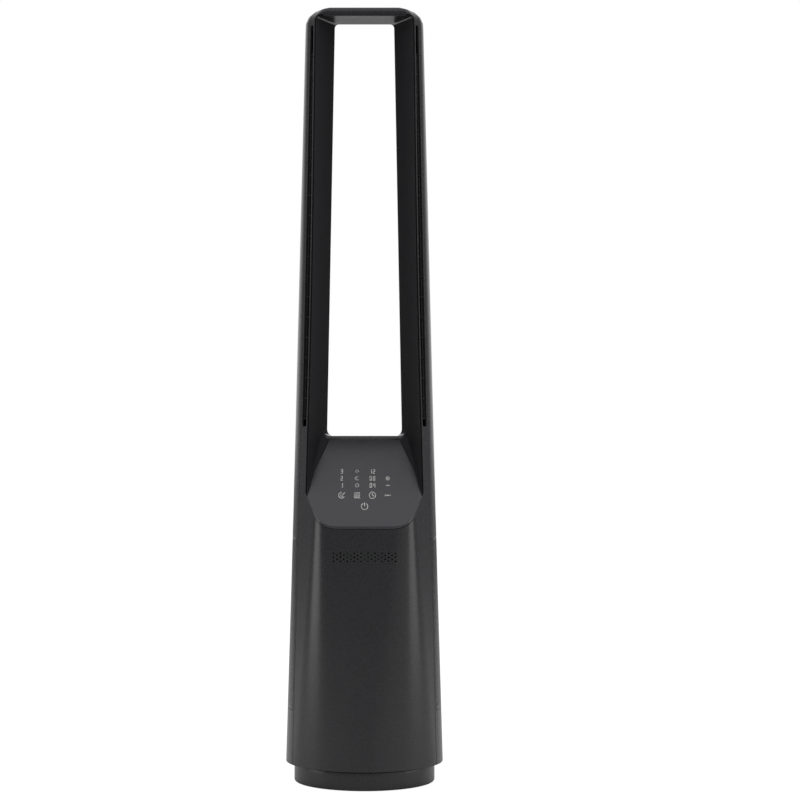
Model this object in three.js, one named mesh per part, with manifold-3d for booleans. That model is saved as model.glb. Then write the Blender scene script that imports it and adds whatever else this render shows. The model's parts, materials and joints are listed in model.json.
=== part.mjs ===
// Tall bladeless fan: a round foot, an oscillating body with a perforated intake, and a
// hollow loop whose two legs blow air out of narrow front slots.
// Millimetres, +Z up, the front faces -Y. The origin is where the turning axis meets the floor.

import * as THREE from 'three';
import { mergeVertices } from 'three/addons/utils/BufferGeometryUtils.js';
import Module from 'manifold-3d';

const wasm = await Module();
wasm.setup();

// ---------------------------------------------------------------- driving dimensions
const GAP = 0.3; // between pieces that touch

// foot
const FOOT_RADIUS = 8;
const FOOT_HEIGHT = 1.2;
const FOOT_CIRCLE = 70;
const BASE_RADIUS = 87;
const BASE_HEIGHT = 24; // from the floor to the top of the drum
const BASE_WALL = 2.4;
const BASE_EDGE = 2; // rounding of the drum's lower edge
const BASE_PLATE_THICKNESS = 2.4;
const WEIGHT_THICKNESS = 4;
const WEIGHT_INNER_RADIUS = 20;
const WEIGHT_CLEARANCE = 2;
const GLIDE_RADIUS = 78;
const GLIDE_WIDTH = 8;
const GLIDE_THICKNESS = 0.9;

// pivot and oscillation gears
const SPINDLE_RADIUS = 9;
const SPINDLE_BORE = 6;
const SPINDLE_FLANGE = 13.5;
const SPINDLE_TOP = 50;
const BUSHING_WALL = 1.8;
const BUSHING_FLANGE = 1.5;
const HUB_WALL = 3;
const HUB_HEIGHT = 18;
const GEAR_MODULE = 2;
const RING_TEETH = 45;
const PINION_TEETH = 15;
const PRESSURE_ANGLE = 22;
const BACKLASH = 0.35;
const GEAR_WIDTH = 7;
const RING_GEAR_WALL = 3;
const WELL_DEPTH = 12.5;
const DRIVE_MOTOR_RADIUS = 24.5;
const DRIVE_MOTOR_HEIGHT = 14.5;
const DRIVE_MOTOR_SHIFT = 10; // its shaft stands this far off its middle
const DRIVE_SHAFT_RADIUS = 3;
const TURNTABLE_THICKNESS = 3;

// body envelope: three cross-sections, joined by straight lines
const SHELL_WALL = 2.4;
const BODY_FOOT = {
  z: 25.5, flat: 0.5, frontRadius: 96, cornerRadius: 96, facet: 2, sideRadius: 96, front: 97, rear: 97,
};
const BODY_WAIST = {
  z: 340, flat: 38, frontRadius: 30, cornerRadius: 24, facet: 45.2, sideRadius: 81, front: 79, rear: 65.7,
};
const BODY_TOP = {
  z: 960, flat: 54, frontRadius: 6, cornerRadius: 6, facet: 21.3, sideRadius: 48, front: 30, rear: 38,
};
const FRONT_ARC = 20; // degrees from straight ahead where the front face ends
const FACET_ANGLE = 65; // degrees from straight ahead that the slotted facet faces
const TOP_CORNER_RADIUS = 17;
const TOP_EDGE_RADIUS = 4;

// opening of the loop
const TOP_BAR_HEIGHT = 15;
const OPENING_TOP_HALF = 36; // half its width at the back, at the top
const OPENING_GROWTH = 0.0181; // what that half gains for each millimetre down
const FLARE_TOP = 21; // degrees by which the inner walls open towards the front
const FLARE_FOOT = 13.3;
const FLARE_FOOT_Z = 473;
const OPENING_CORNER_TOP = 5;
const OPENING_CORNER_FOOT = 9;
const REAR_EDGE_TOP = 3; // rounding of the inner rear edge
const REAR_EDGE_FOOT = 8;
const LINING_WALL = 2.2;
const CORNER_FADE_FRONT = -25; // Y where the lower corners have shrunk to an edge

// control panel: a flat slope that closes the opening below, with a shelf behind its ridge
const PANEL_FRONT = { y: -80, z: 320 };
const PANEL_RIDGE = { y: 22, z: 428 };
const SHELF_FALL = 0.04; // what the shelf loses for each millimetre to the rear
const PANEL_THICKNESS = 1.8;
const PANEL_REAR_MARGIN = 4; // of the ridge that the plate leaves bare
const PANEL_LEAD = 20; // by which its outline starts in front of the body, to be cut back
const TOUCH_BOARD = { width: 84, length: 66, thickness: 1.6 };
const TRAY_WALL = 1.8;
const TRAY_DEPTH = 9;

// outlet slots
const SLOT_FOOT_Z = 440;
const SLOT_FROM_TOP = 12; // below the opening's top
const SLOT_FROM_LIP = 8; // along the facet
const SLOT_FROM_SEAM = 4.7;
const SLOT_END_ROUNDING = 6;
const CUT_MARGIN = 3; // by which a cutter stands out of what it cuts
const RIB_FIRST_Z = 450;
const RIB_COUNT = 19;
const RIB_FROM_TOP = 33; // from the highest rib to the slot's top
const RIB_THICKNESS = 1;
const RIB_RECESS = 1.3;
const RIB_DEPTH = 2;
const COMB_RAIL_WIDTH = 3;
const COMB_RAIL_DEPTH = 2.6;

// air intake and front vent
const INTAKE_FOOT_Z = 92;
const INTAKE_TOP_Z = 303;
const INTAKE_FROM_SEAM = 2.6;
const GRILLE_WALL = 2;
const INTAKE_PITCH = 36;
const INTAKE_HOLE_RADIUS = 11;
const INTAKE_MARGIN = 17;
const SEAM_FLANGE_DEPTH = 7;
const VENT_Z = 283;
const VENT_COLUMNS = 19;
const VENT_PITCH = 4.8;
const VENT_HOLE_RADIUS = 1.1;
const VENT_HOLE_LENGTH = 10;

// fan unit
const FLOOR_Z = 303.6; // underside of the plate that closes the plenum
const FLOOR_THICKNESS = 2.5;
const FLOOR_CLEARANCE = 0.8; // round the plate, for its foam seal
const HOUSING_RADIUS = 56;
const HOUSING_WALL = 2;
const HOUSING_FLANGE = 7;
const HOUSING_FLANGE_THICKNESS = 3;
const EYE_RADIUS = 37;
const EYE_Z = 112;
const SHROUD_TOP_Z = 150;
const BELL_RADIUS = 50;
const BELL_Z = 98;
const BLADES = 9;
const BLADE_THICKNESS = 1.8;
const BLADE_TURN = 62; // degrees wrapped from inlet to outlet
const TIP_CLEARANCE = 1;
const MOTOR_CUP_RADIUS = 38;
const CUP_WALL = 2;
const CUP_FOOT_Z = 153;
const CUP_SHOULDER_Z = 203;
const CUP_TIP_Z = 246;
const VANES = 9;
const VANE_THICKNESS = 1.6;
const MOTOR_SHAFT_RADIUS = 4;
const BEARING_RADIUS = 8;
const BEARING_WIDTH = 5;
const MOTOR_TUBE_WALL = 2.4;
const STATOR_RADIUS = 23.5;
const STATOR_Z = 168;
const STATOR_HEIGHT = 18;
const STATOR_TEETH = 9;
const ROTOR_RADIUS = 28;
const MOTOR_PLATE_RADIUS = 31;
const MOUNT_RADIUS = 4;
const MOUNT_CIRCLE = 26;
const MOUNT_COUNT = 3;

// boards and inlet
const MAIN_BOARD = { width: 60, length: 28, thickness: 1.6, y: 70, lift: 5.5 };
const BOARD_POST_RADIUS = 3;
const SENSOR_BOARD = { width: 44, height: 22, thickness: 1.6 };
const SENSOR_POST = 5;
const SENSOR_POST_RADIUS = 2;
const SENSOR_POST_Z = VENT_Z - 8; // under the vent's holes
const INLET = { width: 13, height: 9, depth: 15, z: 12.5, bore: 2.9, reach: 12 };

const CIRCLE = 28; // facets of a round piece
const SMALL_CIRCLE = 18;
const WIDE_CIRCLE = 40;

// ---------------------------------------------------------------- values that follow
const rad = THREE.MathUtils.degToRad;
const { lerp } = THREE.MathUtils;
const BODY_HEIGHT = BODY_TOP.z;
const OPENING_TOP = BODY_TOP.z - TOP_BAR_HEIGHT;
const SLOT_TOP_Z = OPENING_TOP - SLOT_FROM_TOP;
const RIB_PITCH = (SLOT_TOP_Z - RIB_FROM_TOP - RIB_FIRST_Z) / (RIB_COUNT - 1);
const PLATE_Z = FOOT_HEIGHT;
const BASE_ROOF_Z = BASE_HEIGHT - BASE_WALL;
const TURN_Z = BODY_FOOT.z; // underside of the turntable
const WELL_ROOF_Z = TURN_Z + WELL_DEPTH;
const RING_PITCH_RADIUS = (GEAR_MODULE * RING_TEETH) / 2;
const PINION_PITCH_RADIUS = (GEAR_MODULE * PINION_TEETH) / 2;
const PINION_Y = -(RING_PITCH_RADIUS - PINION_PITCH_RADIUS);
const GEAR_TOP_Z = WELL_ROOF_Z - GAP;
const RING_OUTER_RADIUS = RING_PITCH_RADIUS + 1.25 * GEAR_MODULE + RING_GEAR_WALL;
const BUSHING_RADIUS = SPINDLE_RADIUS + GAP + BUSHING_WALL;
const HUB_BORE = BUSHING_RADIUS + GAP;
const HUB_TOP_Z = TURN_Z + HUB_HEIGHT;
const BUSHING_TOP_Z = HUB_TOP_Z + GAP + BUSHING_FLANGE;
const SHAFT_RUN = GAP; // running clearance of shafts

// ---------------------------------------------------------------- geometry helpers
/** Signed volume of an indexed geometry. */
function signedVolume(geometry) {
  const p = geometry.attributes.position;
  const index = geometry.index;
  const [a, b, c] = [new THREE.Vector3(), new THREE.Vector3(), new THREE.Vector3()];
  let sum = 0;
  for (let i = 0; i < index.count; i += 3) {
    a.fromBufferAttribute(p, index.getX(i));
    b.fromBufferAttribute(p, index.getX(i + 1));
    c.fromBufferAttribute(p, index.getX(i + 2));
    sum += a.dot(b.cross(c));
  }
  return sum / 6;
}

/** A closed geometry as a solid, with its faces turned outwards. */
function solid(geometry) {
  geometry.deleteAttribute('normal');
  geometry.deleteAttribute('uv');
  const merged = mergeVertices(geometry, 1e-4);
  const flip = signedVolume(merged) < 0;
  const source = merged.index.array;
  const triangles = [];
  for (let i = 0; i < source.length; i += 3) {
    const [a, b, c] = [source[i], source[i + 1], source[i + 2]];
    if (a === b || b === c || c === a) continue;
    triangles.push(a, flip ? c : b, flip ? b : c);
  }
  const mesh = new wasm.Mesh({
    numProp: 3,
    vertProperties: new Float32Array(merged.attributes.position.array),
    triVerts: new Uint32Array(triangles),
  });
  return new wasm.Manifold(mesh);
}

/** A solid back as a geometry for a mesh. */
function geometryOf(body) {
  const mesh = body.getMesh();
  const geometry = new THREE.BufferGeometry();
  geometry.setAttribute('position', new THREE.BufferAttribute(new Float32Array(mesh.vertProperties), 3));
  geometry.setIndex(new THREE.BufferAttribute(new Uint32Array(mesh.triVerts), 1));
  geometry.computeVertexNormals();
  return geometry;
}

const added = (solids) => solids.reduce((sum, next) => sum.add(next));

/** A closed profile of [radius, z] points turned about the Z axis. */
function turned(profile, facets = CIRCLE) {
  const points = profile.map(([r, z]) => new THREE.Vector2(r, z));
  const onAxis = profile[0][0] === 0 && profile.at(-1)[0] === 0;
  if (!onAxis) points.push(points[0].clone());
  return solid(new THREE.LatheGeometry(points, facets).rotateX(Math.PI / 2));
}

/** A ring with square edges. */
const ring = (inner, outer, low, high, facets = CIRCLE) =>
  turned([[inner, low], [outer, low], [outer, high], [inner, high]], facets);

/** A disc or pin standing on the Z axis. */
const disc = (radius, low, high, facets = CIRCLE) =>
  turned([[0, low], [radius, low], [radius, high], [0, high]], facets);

/** A box between two corners. */
function box([x0, y0, z0], [x1, y1, z1]) {
  const geometry = new THREE.BoxGeometry(x1 - x0, y1 - y0, z1 - z0);
  return solid(geometry.translate((x0 + x1) / 2, (y0 + y1) / 2, (z0 + z1) / 2));
}

/** Closed skin over rings of Vector3 with equal counts; flat ends are closed to their middle. */
function lofted(rings) {
  const count = rings[0].length;
  const positions = rings.flat().flatMap((p) => [p.x, p.y, p.z]);
  const index = [];
  for (let i = 0; i + 1 < rings.length; i += 1) {
    for (let j = 0; j < count; j += 1) {
      const [a, b] = [i * count + j, i * count + ((j + 1) % count)];
      index.push(a, b, b + count, a, b + count, a + count);
    }
  }
  for (const [start, reverse] of [[0, true], [(rings.length - 1) * count, false]]) {
    const outline = rings[start / count];
    const middle = outline.reduce((sum, p) => sum.clone().add(p), new THREE.Vector3());
    middle.divideScalar(count);
    const hub = positions.length / 3;
    positions.push(middle.x, middle.y, middle.z);
    for (let j = 0; j < count; j += 1) {
      const [a, b] = [start + j, start + ((j + 1) % count)];
      index.push(hub, reverse ? b : a, reverse ? a : b);
    }
  }
  const geometry = new THREE.BufferGeometry();
  geometry.setAttribute('position', new THREE.Float32BufferAttribute(positions, 3));
  geometry.setIndex(index);
  return solid(geometry);
}

/** An outline of [x, y] points raised by a height along Z. */
function raised(outline, height) {
  const shape = new THREE.Shape(outline.map(([x, y]) => new THREE.Vector2(x, y)));
  return new THREE.ExtrudeGeometry(shape, { depth: height, bevelEnabled: false });
}

/** An outline of [y, z] points drawn across the whole width. */
function acrossWidth(outline, half = BODY_HEIGHT / 4) {
  const axes = new THREE.Matrix4().makeBasis(
    new THREE.Vector3(0, 1, 0), new THREE.Vector3(0, 0, 1), new THREE.Vector3(1, 0, 0));
  return solid(raised(outline, 2 * half).applyMatrix4(axes).translate(-half, 0, 0));
}

const mirrored = (body) => {
  const geometry = geometryOf(body);
  geometry.scale(-1, 1, 1);
  return solid(geometry);
};

// ---------------------------------------------------------------- body envelope
/** Cross-section values at a height, between the key sections. */
function sectionAt(z) {
  const [low, high] = z < BODY_WAIST.z ? [BODY_FOOT, BODY_WAIST] : [BODY_WAIST, BODY_TOP];
  const t = (z - low.z) / (high.z - low.z);
  const mixed = {};
  for (const key of Object.keys(low)) mixed[key] = lerp(low[key], high[key], t);
  return mixed;
}

/** Right half of a section from front to rear, moved inwards by an inset. */
function halfSection(s, inset = 0) {
  const points = [];
  let [x, y] = [s.flat, -s.front];
  const put = (angle) => points.push([x - inset * Math.sin(angle), y + inset * Math.cos(angle)]);
  const arc = (radius, from, to, steps) => {
    for (let i = 1; i <= steps; i += 1) {
      const [a, b] = [rad(lerp(from, to, (i - 1) / steps)), rad(lerp(from, to, i / steps))];
      x += radius * (Math.sin(b) - Math.sin(a));
      y += radius * (Math.cos(a) - Math.cos(b));
      put(b);
    }
  };
  put(0);
  arc(s.frontRadius, 0, FRONT_ARC, 3);
  arc(s.cornerRadius, FRONT_ARC, FACET_ANGLE, 5);
  x += s.facet * Math.cos(rad(FACET_ANGLE));
  y += s.facet * Math.sin(rad(FACET_ANGLE));
  put(rad(FACET_ANGLE));
  arc(s.sideRadius, FACET_ANGLE, 90, 3);
  const [half, depth, widest] = [x, s.rear - y, y];
  for (let i = 1; i <= 7; i += 1) {
    const turn = (Math.PI / 2) * (i / 7);
    const normal = new THREE.Vector2(Math.cos(turn) / half, Math.sin(turn) / depth).normalize();
    const px = half * Math.cos(turn) - inset * normal.x;
    points.push([i === 7 ? 0 : px, widest + depth * Math.sin(turn) - inset * normal.y]);
  }
  return points;
}

const SEAM_INDEX = 9; // point of a half section where the facet ends

/** Where the facet ends and the side begins, at a height. */
function seamPoint(z) {
  const [x, y] = halfSection(sectionAt(z))[SEAM_INDEX];
  return { x, y };
}

/** Y of the rear surface at a height and a distance from the middle. */
function rearY(z, x) {
  const points = halfSection(sectionAt(z)).slice(SEAM_INDEX + 3);
  const [half, widest] = points[0];
  const depth = points.at(-1)[1] - widest;
  return widest + depth * Math.sqrt(Math.max(0, 1 - (x / half) ** 2));
}

/** The whole outer form, moved inwards by an inset and started at a height. */
function envelope(inset = 0, footZ = BODY_FOOT.z) {
  const full = (z, narrower = 0, shallower = 0) => {
    const right = halfSection(sectionAt(z), inset);
    const half = right[SEAM_INDEX + 3][0];
    const middleY = (right[0][1] + right.at(-1)[1]) / 2;
    const deep = right.at(-1)[1] - middleY;
    const squeezed = right.map(([x, y]) => [
      x * (1 - narrower / half), middleY + (y - middleY) * (1 - shallower / deep)]);
    const left = squeezed.slice(0, -1).reverse().map(([x, y]) => [-x, y]);
    return [...squeezed, ...left].map(([x, y]) => new THREE.Vector3(x, y, z));
  };
  const rings = [full(footZ)];
  if (footZ < BODY_FOOT.z) rings.push(full(BODY_FOOT.z));
  rings.push(full(BODY_WAIST.z));
  const corner = TOP_CORNER_RADIUS - inset;
  const top = BODY_HEIGHT - inset;
  const steps = 6;
  for (let i = 0; i <= steps; i += 1) {
    const turn = (Math.PI / 2) * (i / steps);
    const ease = 1 - Math.cos(turn);
    rings.push(full(top - corner * (1 - Math.sin(turn)), corner * ease, TOP_EDGE_RADIUS * ease ** 2));
  }
  return lofted(rings);
}

// ---------------------------------------------------------------- opening of the loop
const FAR = BODY_FOOT.front * 2;
const slope = Math.atan2(PANEL_RIDGE.z - PANEL_FRONT.z, PANEL_RIDGE.y - PANEL_FRONT.y);

/** Height of the opening's floor: the panel's slope, then the shelf behind the ridge. */
function floorZ(y) {
  const past = y - PANEL_RIDGE.y;
  return PANEL_RIDGE.z + past * (past < 0 ? Math.tan(slope) : -SHELF_FALL);
}

/** Half the opening's width at its rear edge. */
const rearHalf = (z) => OPENING_TOP_HALF + OPENING_GROWTH * (OPENING_TOP - z);

/** How fast an inner wall opens towards the front. */
function flareAt(z) {
  const down = THREE.MathUtils.clamp((OPENING_TOP - z) / (OPENING_TOP - FLARE_FOOT_Z), 0, 1);
  return Math.tan(rad(lerp(FLARE_FOOT, FLARE_TOP, (1 - down) ** 2)));
}

const openingHalf = (y, z) => rearHalf(z) + flareAt(z) * (rearY(z, rearHalf(z)) - y);

/** Share of the way down the opening, 0 at its top. */
const downOpening = (z) => THREE.MathUtils.clamp((OPENING_TOP - z) / (OPENING_TOP - PANEL_RIDGE.z), 0, 1);
const rearEdge = (z) => lerp(REAR_EDGE_TOP, REAR_EDGE_FOOT, downOpening(z));

/** Radius of the lower corners, which fade out towards the front. */
function footCorner(y) {
  const back = THREE.MathUtils.smoothstep(y, CORNER_FADE_FRONT, PANEL_RIDGE.y);
  return lerp(0.6, OPENING_CORNER_FOOT, back);
}

/**
 * Block that fills the opening and everything in front of it, grown sideways by a wall and
 * sunk below the panel's slope by a drop.
 */
function openingBlock(wall = 0, drop = 0) {
  const levels = 5;
  const cornerSteps = 2;
  const fall = drop / Math.cos(slope);
  const loop = (yAt, widthAt, footY) => {
    const low = floorZ(footY) - fall;
    const high = OPENING_TOP + wall;
    const [lowCorner, highCorner] = [footCorner(footY) + wall, OPENING_CORNER_TOP + wall];
    const right = [];
    for (let i = 0; i <= cornerSteps; i += 1) {
      const turn = (Math.PI / 2) * (i / cornerSteps);
      right.push([lowCorner * (1 - Math.sin(turn)), low + lowCorner * (1 - Math.cos(turn))]);
    }
    for (let i = 1; i < levels; i += 1) right.push([0, lerp(low + lowCorner, high - highCorner, i / levels)]);
    for (let i = 0; i <= cornerSteps; i += 1) {
      const turn = (Math.PI / 2) * (i / cornerSteps);
      right.push([highCorner * (1 - Math.cos(turn)), high - highCorner * (1 - Math.sin(turn))]);
    }
    const side = right.map(([inwards, z]) => [widthAt(z) - inwards, yAt(z), z]);
    const whole = [...side, ...side.map(([x, y, z]) => [-x, y, z]).reverse()];
    return whole.map(([x, y, z]) => new THREE.Vector3(x, y, z));
  };
  const spread = (z) => wall / Math.cos(Math.atan(flareAt(z)));
  const rings = [];
  const inFront = [-FAR, PANEL_FRONT.y - PANEL_LEAD, lerp(PANEL_FRONT.y, CORNER_FADE_FRONT, 0.4)];
  const fade = [CORNER_FADE_FRONT, lerp(CORNER_FADE_FRONT, PANEL_RIDGE.y, 0.5), PANEL_RIDGE.y];
  for (const y of [...inFront, ...fade]) {
    rings.push(loop(() => y, (z) => openingHalf(y, z) + spread(z), y));
  }
  const edgeY = (z) => rearY(z, rearHalf(z));
  const shelfY = edgeY(PANEL_RIDGE.z) - rearEdge(PANEL_RIDGE.z);
  const steps = 2;
  for (let i = 0; i <= steps; i += 1) {
    const turn = (Math.PI / 2) * (i / steps);
    const yAt = (z) => edgeY(z) - rearEdge(z) + Math.max(0, rearEdge(z) - wall) * Math.sin(turn);
    const widthAt = (z) => openingHalf(edgeY(z) - rearEdge(z), z) + rearEdge(z)
      - Math.max(0, rearEdge(z) - wall) * Math.cos(turn);
    rings.push(loop(yAt, widthAt, shelfY));
  }
  const last = (z) => openingHalf(edgeY(z) - rearEdge(z), z) + rearEdge(z);
  rings.push(loop(() => FAR, last, shelfY));
  return lofted(rings);
}

// ---------------------------------------------------------------- regions
/** Everything in front of the seam, moved rearwards by a shift. */
function beforeSeam(shift, low = 0, high = BODY_HEIGHT + 10) {
  const heights = [low, ...[BODY_FOOT.z, BODY_WAIST.z].filter((z) => z > low && z < high), high];
  const line = heights.map((z) => [seamPoint(z).y + shift, z]);
  return acrossWidth([[-FAR, low], ...line, [-FAR, high]]);
}

/** Everything behind the seam, moved rearwards by a shift. */
function behindSeam(shift, low = 0, high = BODY_HEIGHT + 10) {
  const heights = [low, ...[BODY_FOOT.z, BODY_WAIST.z].filter((z) => z > low && z < high), high];
  const line = heights.map((z) => [seamPoint(z).y + shift, z]);
  return acrossWidth([[FAR, low], ...line, [FAR, high]]);
}

/** Places a geometry in the panel's own axes: x across, y up the slope, z out of it. */
function onPanel(geometry) {
  const [c, s] = [Math.cos(slope), Math.sin(slope)];
  const axes = new THREE.Matrix4().makeBasis(
    new THREE.Vector3(1, 0, 0), new THREE.Vector3(0, c, s), new THREE.Vector3(0, -s, c));
  return solid(geometry.applyMatrix4(axes).translate(0, PANEL_FRONT.y, PANEL_FRONT.z));
}

/** Outline of the panel plate in its own axes, drawn in by a clearance. */
function panelOutline(clearance) {
  const rearMost = PANEL_RIDGE.y - PANEL_REAR_MARGIN - clearance;
  const steps = 8;
  const right = [];
  for (let i = 0; i <= steps; i += 1) {
    const y = lerp(PANEL_FRONT.y - PANEL_LEAD, rearMost, i / steps);
    const half = openingHalf(y, floorZ(y)) - footCorner(y) - clearance;
    right.push([half, (y - PANEL_FRONT.y) / Math.cos(slope)]);
  }
  return [...right, ...right.map(([x, s]) => [-x, s]).reverse()];
}

const outer = envelope();
const hollow = envelope(SHELL_WALL, TURN_Z - 6);
const seated = envelope(SHELL_WALL + GAP, TURN_Z - 6);
const opening = openingBlock();
const shellCut = openingBlock(LINING_WALL + GAP, PANEL_THICKNESS + GAP);
const skin = outer.subtract(hollow).subtract(shellCut);

// ---------------------------------------------------------------- outlet slots
/** Distance along the facet from the seam to the lip of the opening. */
function facetReach(z) {
  const seam = seamPoint(z);
  const flare = flareAt(z);
  const rise = rearHalf(z) + flare * (rearY(z, rearHalf(z)) - seam.y);
  return (seam.x - rise) / (Math.cos(rad(FACET_ANGLE)) + flare * Math.sin(rad(FACET_ANGLE)));
}

/** Point on the right facet: a distance from the seam and a depth into the wall. */
function facetPoint(z, fromSeam, depth) {
  const seam = seamPoint(z);
  const [c, s] = [Math.cos(rad(FACET_ANGLE)), Math.sin(rad(FACET_ANGLE))];
  return new THREE.Vector3(seam.x - fromSeam * c - depth * s, seam.y - fromSeam * s + depth * c, z);
}

/** Bar along the right facet between two heights; its edges are functions of the height. */
function facetBar(heights, nearAt, farAt, top, bottom) {
  return lofted(heights.map((z) => [
    facetPoint(z, nearAt(z), top), facetPoint(z, farAt(z), top),
    facetPoint(z, farAt(z), bottom), facetPoint(z, nearAt(z), bottom)]));
}

const slotNear = () => SLOT_FROM_SEAM;
const slotFar = (z) => facetReach(z) - SLOT_FROM_LIP;

/** Cutter for the right slot, with round ends. */
function slotCutter() {
  const heights = [];
  const steps = 4;
  for (let i = 0; i <= steps; i += 1) {
    heights.push(SLOT_FOOT_Z + SLOT_END_ROUNDING * (1 - Math.cos((Math.PI / 2) * (i / steps))));
  }
  const upper = heights.map((z) => SLOT_TOP_Z - (z - SLOT_FOOT_Z)).reverse();
  const between = [];
  for (let i = 1; i < 8; i += 1) between.push(lerp(heights.at(-1), upper[0], i / 8));
  const draw = (z) => {
    const toEnd = Math.min(z - SLOT_FOOT_Z, SLOT_TOP_Z - z);
    const part = 1 - Math.min(toEnd, SLOT_END_ROUNDING) / SLOT_END_ROUNDING;
    return (1 - Math.sqrt(1 - part ** 2)) * 0.49 * (slotFar(z) - slotNear(z));
  };
  const all = [...heights, ...between, ...upper];
  const [near, far] = [(z) => slotNear() + draw(z), (z) => slotFar(z) - draw(z)];
  return facetBar(all, near, far, -CUT_MARGIN, SHELL_WALL + CUT_MARGIN);
}

/** Comb of ribs that stands behind the right slot: one rail, and ribs that cross the slot. */
function outletComb() {
  const railTop = SHELL_WALL + GAP;
  const railStart = SLOT_FROM_SEAM - COMB_RAIL_WIDTH / 2;
  const railEnd = () => railStart + COMB_RAIL_WIDTH;
  const low = RIB_FIRST_Z - RIB_THICKNESS;
  const high = RIB_FIRST_Z + (RIB_COUNT - 1) * RIB_PITCH + RIB_THICKNESS;
  let comb = facetBar([low, high], () => railStart, railEnd, railTop, railTop + COMB_RAIL_DEPTH);
  for (let i = 0; i < RIB_COUNT; i += 1) {
    const z = RIB_FIRST_Z + i * RIB_PITCH;
    const heights = [z - RIB_THICKNESS / 2, z + RIB_THICKNESS / 2];
    const near = () => SLOT_FROM_SEAM + GAP;
    const far = (h) => slotFar(h) - GAP;
    comb = comb.add(facetBar(heights, near, far, RIB_RECESS, RIB_RECESS + RIB_DEPTH));
  }
  return comb;
}

// ---------------------------------------------------------------- shells
/** Holes of the front vent, two or three to a column, as one cutter. */
function ventHoles() {
  const columnPitch = VENT_PITCH * Math.cos(rad(30));
  const holes = [];
  for (let i = 0; i < VENT_COLUMNS; i += 1) {
    const x = (i - (VENT_COLUMNS - 1) / 2) * columnPitch;
    const rows = i % 2 === 0 ? 3 : 2;
    for (let j = 0; j < rows; j += 1) {
      const z = VENT_Z + (j - (rows - 1) / 2) * VENT_PITCH;
      const pin = new THREE.CylinderGeometry(VENT_HOLE_RADIUS, VENT_HOLE_RADIUS, VENT_HOLE_LENGTH, 4);
      holes.push(solid(pin.translate(x, SHELL_WALL / 2 - sectionAt(VENT_Z).front, z)));
    }
  }
  return added(holes);
}

function frontShell() {
  const slot = slotCutter();
  let shell = skin.intersect(beforeSeam(-GAP / 2)).subtract(slot).subtract(mirrored(slot));
  shell = shell.subtract(ventHoles());
  const root = -sectionAt(VENT_Z).front + SHELL_WALL / 2;
  const tip = -sectionAt(VENT_Z).front + SHELL_WALL + SENSOR_POST;
  for (const side of [-1, 1]) {
    const post = new THREE.CylinderGeometry(SENSOR_POST_RADIUS, SENSOR_POST_RADIUS, tip - root, 8);
    post.translate(side * (SENSOR_BOARD.width / 2 - SENSOR_POST_RADIUS), (root + tip) / 2, SENSOR_POST_Z);
    shell = shell.add(solid(post));
  }
  return shell;
}

const intakeOpening = behindSeam(INTAKE_FROM_SEAM, INTAKE_FOOT_Z, INTAKE_TOP_Z);

function rearShell() {
  const flangeZone = behindSeam(GAP / 2, TURN_Z + TURNTABLE_THICKNESS + GAP, FLOOR_Z - GAP)
    .subtract(behindSeam(INTAKE_FROM_SEAM, 0));
  const flange = outer.subtract(envelope(SEAM_FLANGE_DEPTH, TURN_Z - 6)).intersect(flangeZone);
  return skin.intersect(behindSeam(GAP / 2)).subtract(intakeOpening).add(flange);
}

/** Points and normals spaced evenly along the intake, from seam to seam round the back. */
function intakeColumns(z, pitch) {
  const right = halfSection(sectionAt(z), GRILLE_WALL / 2).slice(SEAM_INDEX);
  const path = [...right, ...right.slice(0, -1).reverse().map(([x, y]) => [-x, y])];
  const curve = new THREE.CatmullRomCurve3(path.map(([x, y]) => new THREE.Vector3(x, y, z)));
  const length = curve.getLength();
  const count = Math.floor((length - 2 * INTAKE_MARGIN) / pitch);
  return { curve, length, count };
}

function intakeGrille() {
  const zone = behindSeam(INTAKE_FROM_SEAM + GAP, INTAKE_FOOT_Z + GAP, INTAKE_TOP_Z - GAP);
  let grille = outer.subtract(envelope(GRILLE_WALL, TURN_Z - 6)).intersect(zone);
  const rowPitch = INTAKE_PITCH * Math.cos(rad(30));
  const first = INTAKE_FOOT_Z + INTAKE_MARGIN;
  const rows = Math.floor((INTAKE_TOP_Z - INTAKE_MARGIN - first) / rowPitch) + 1;
  const middle = intakeColumns((INTAKE_FOOT_Z + INTAKE_TOP_Z) / 2, INTAKE_PITCH);
  const outwards = new THREE.Vector3();
  for (let row = 0; row < rows; row += 1) {
    const z = first + row * rowPitch;
    const { curve } = intakeColumns(z, INTAKE_PITCH);
    const count = middle.count - (row % 2);
    for (let i = 0; i <= count; i += 1) {
      const share = 0.5 + (i - count / 2) * (INTAKE_PITCH / middle.length);
      const at = curve.getPointAt(share);
      const along = curve.getTangentAt(share);
      outwards.set(along.y, -along.x, 0);
      const pin = new THREE.CylinderGeometry(INTAKE_HOLE_RADIUS, INTAKE_HOLE_RADIUS, 8, 4);
      pin.applyQuaternion(new THREE.Quaternion().setFromUnitVectors(new THREE.Vector3(0, 1, 0), outwards));
      grille = grille.subtract(solid(pin.translate(at.x, at.y, z)));
    }
  }
  return grille;
}

function liningShell() {
  const walls = openingBlock(LINING_WALL, PANEL_THICKNESS).intersect(outer);
  const floor = openingBlock(LINING_WALL, PANEL_THICKNESS + GAP + LINING_WALL).intersect(seated);
  const pocket = onPanel(raised(panelOutline(GAP / 3), PANEL_THICKNESS + GAP + 1)
    .translate(0, 0, -PANEL_THICKNESS - GAP));
  return walls.add(floor).subtract(opening).subtract(pocket);
}

const panelPlate = () =>
  onPanel(raised(panelOutline(GAP), PANEL_THICKNESS).translate(0, 0, -PANEL_THICKNESS)).intersect(outer);

// ---------------------------------------------------------------- gears
const involute = (angle) => Math.tan(angle) - angle;

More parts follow.
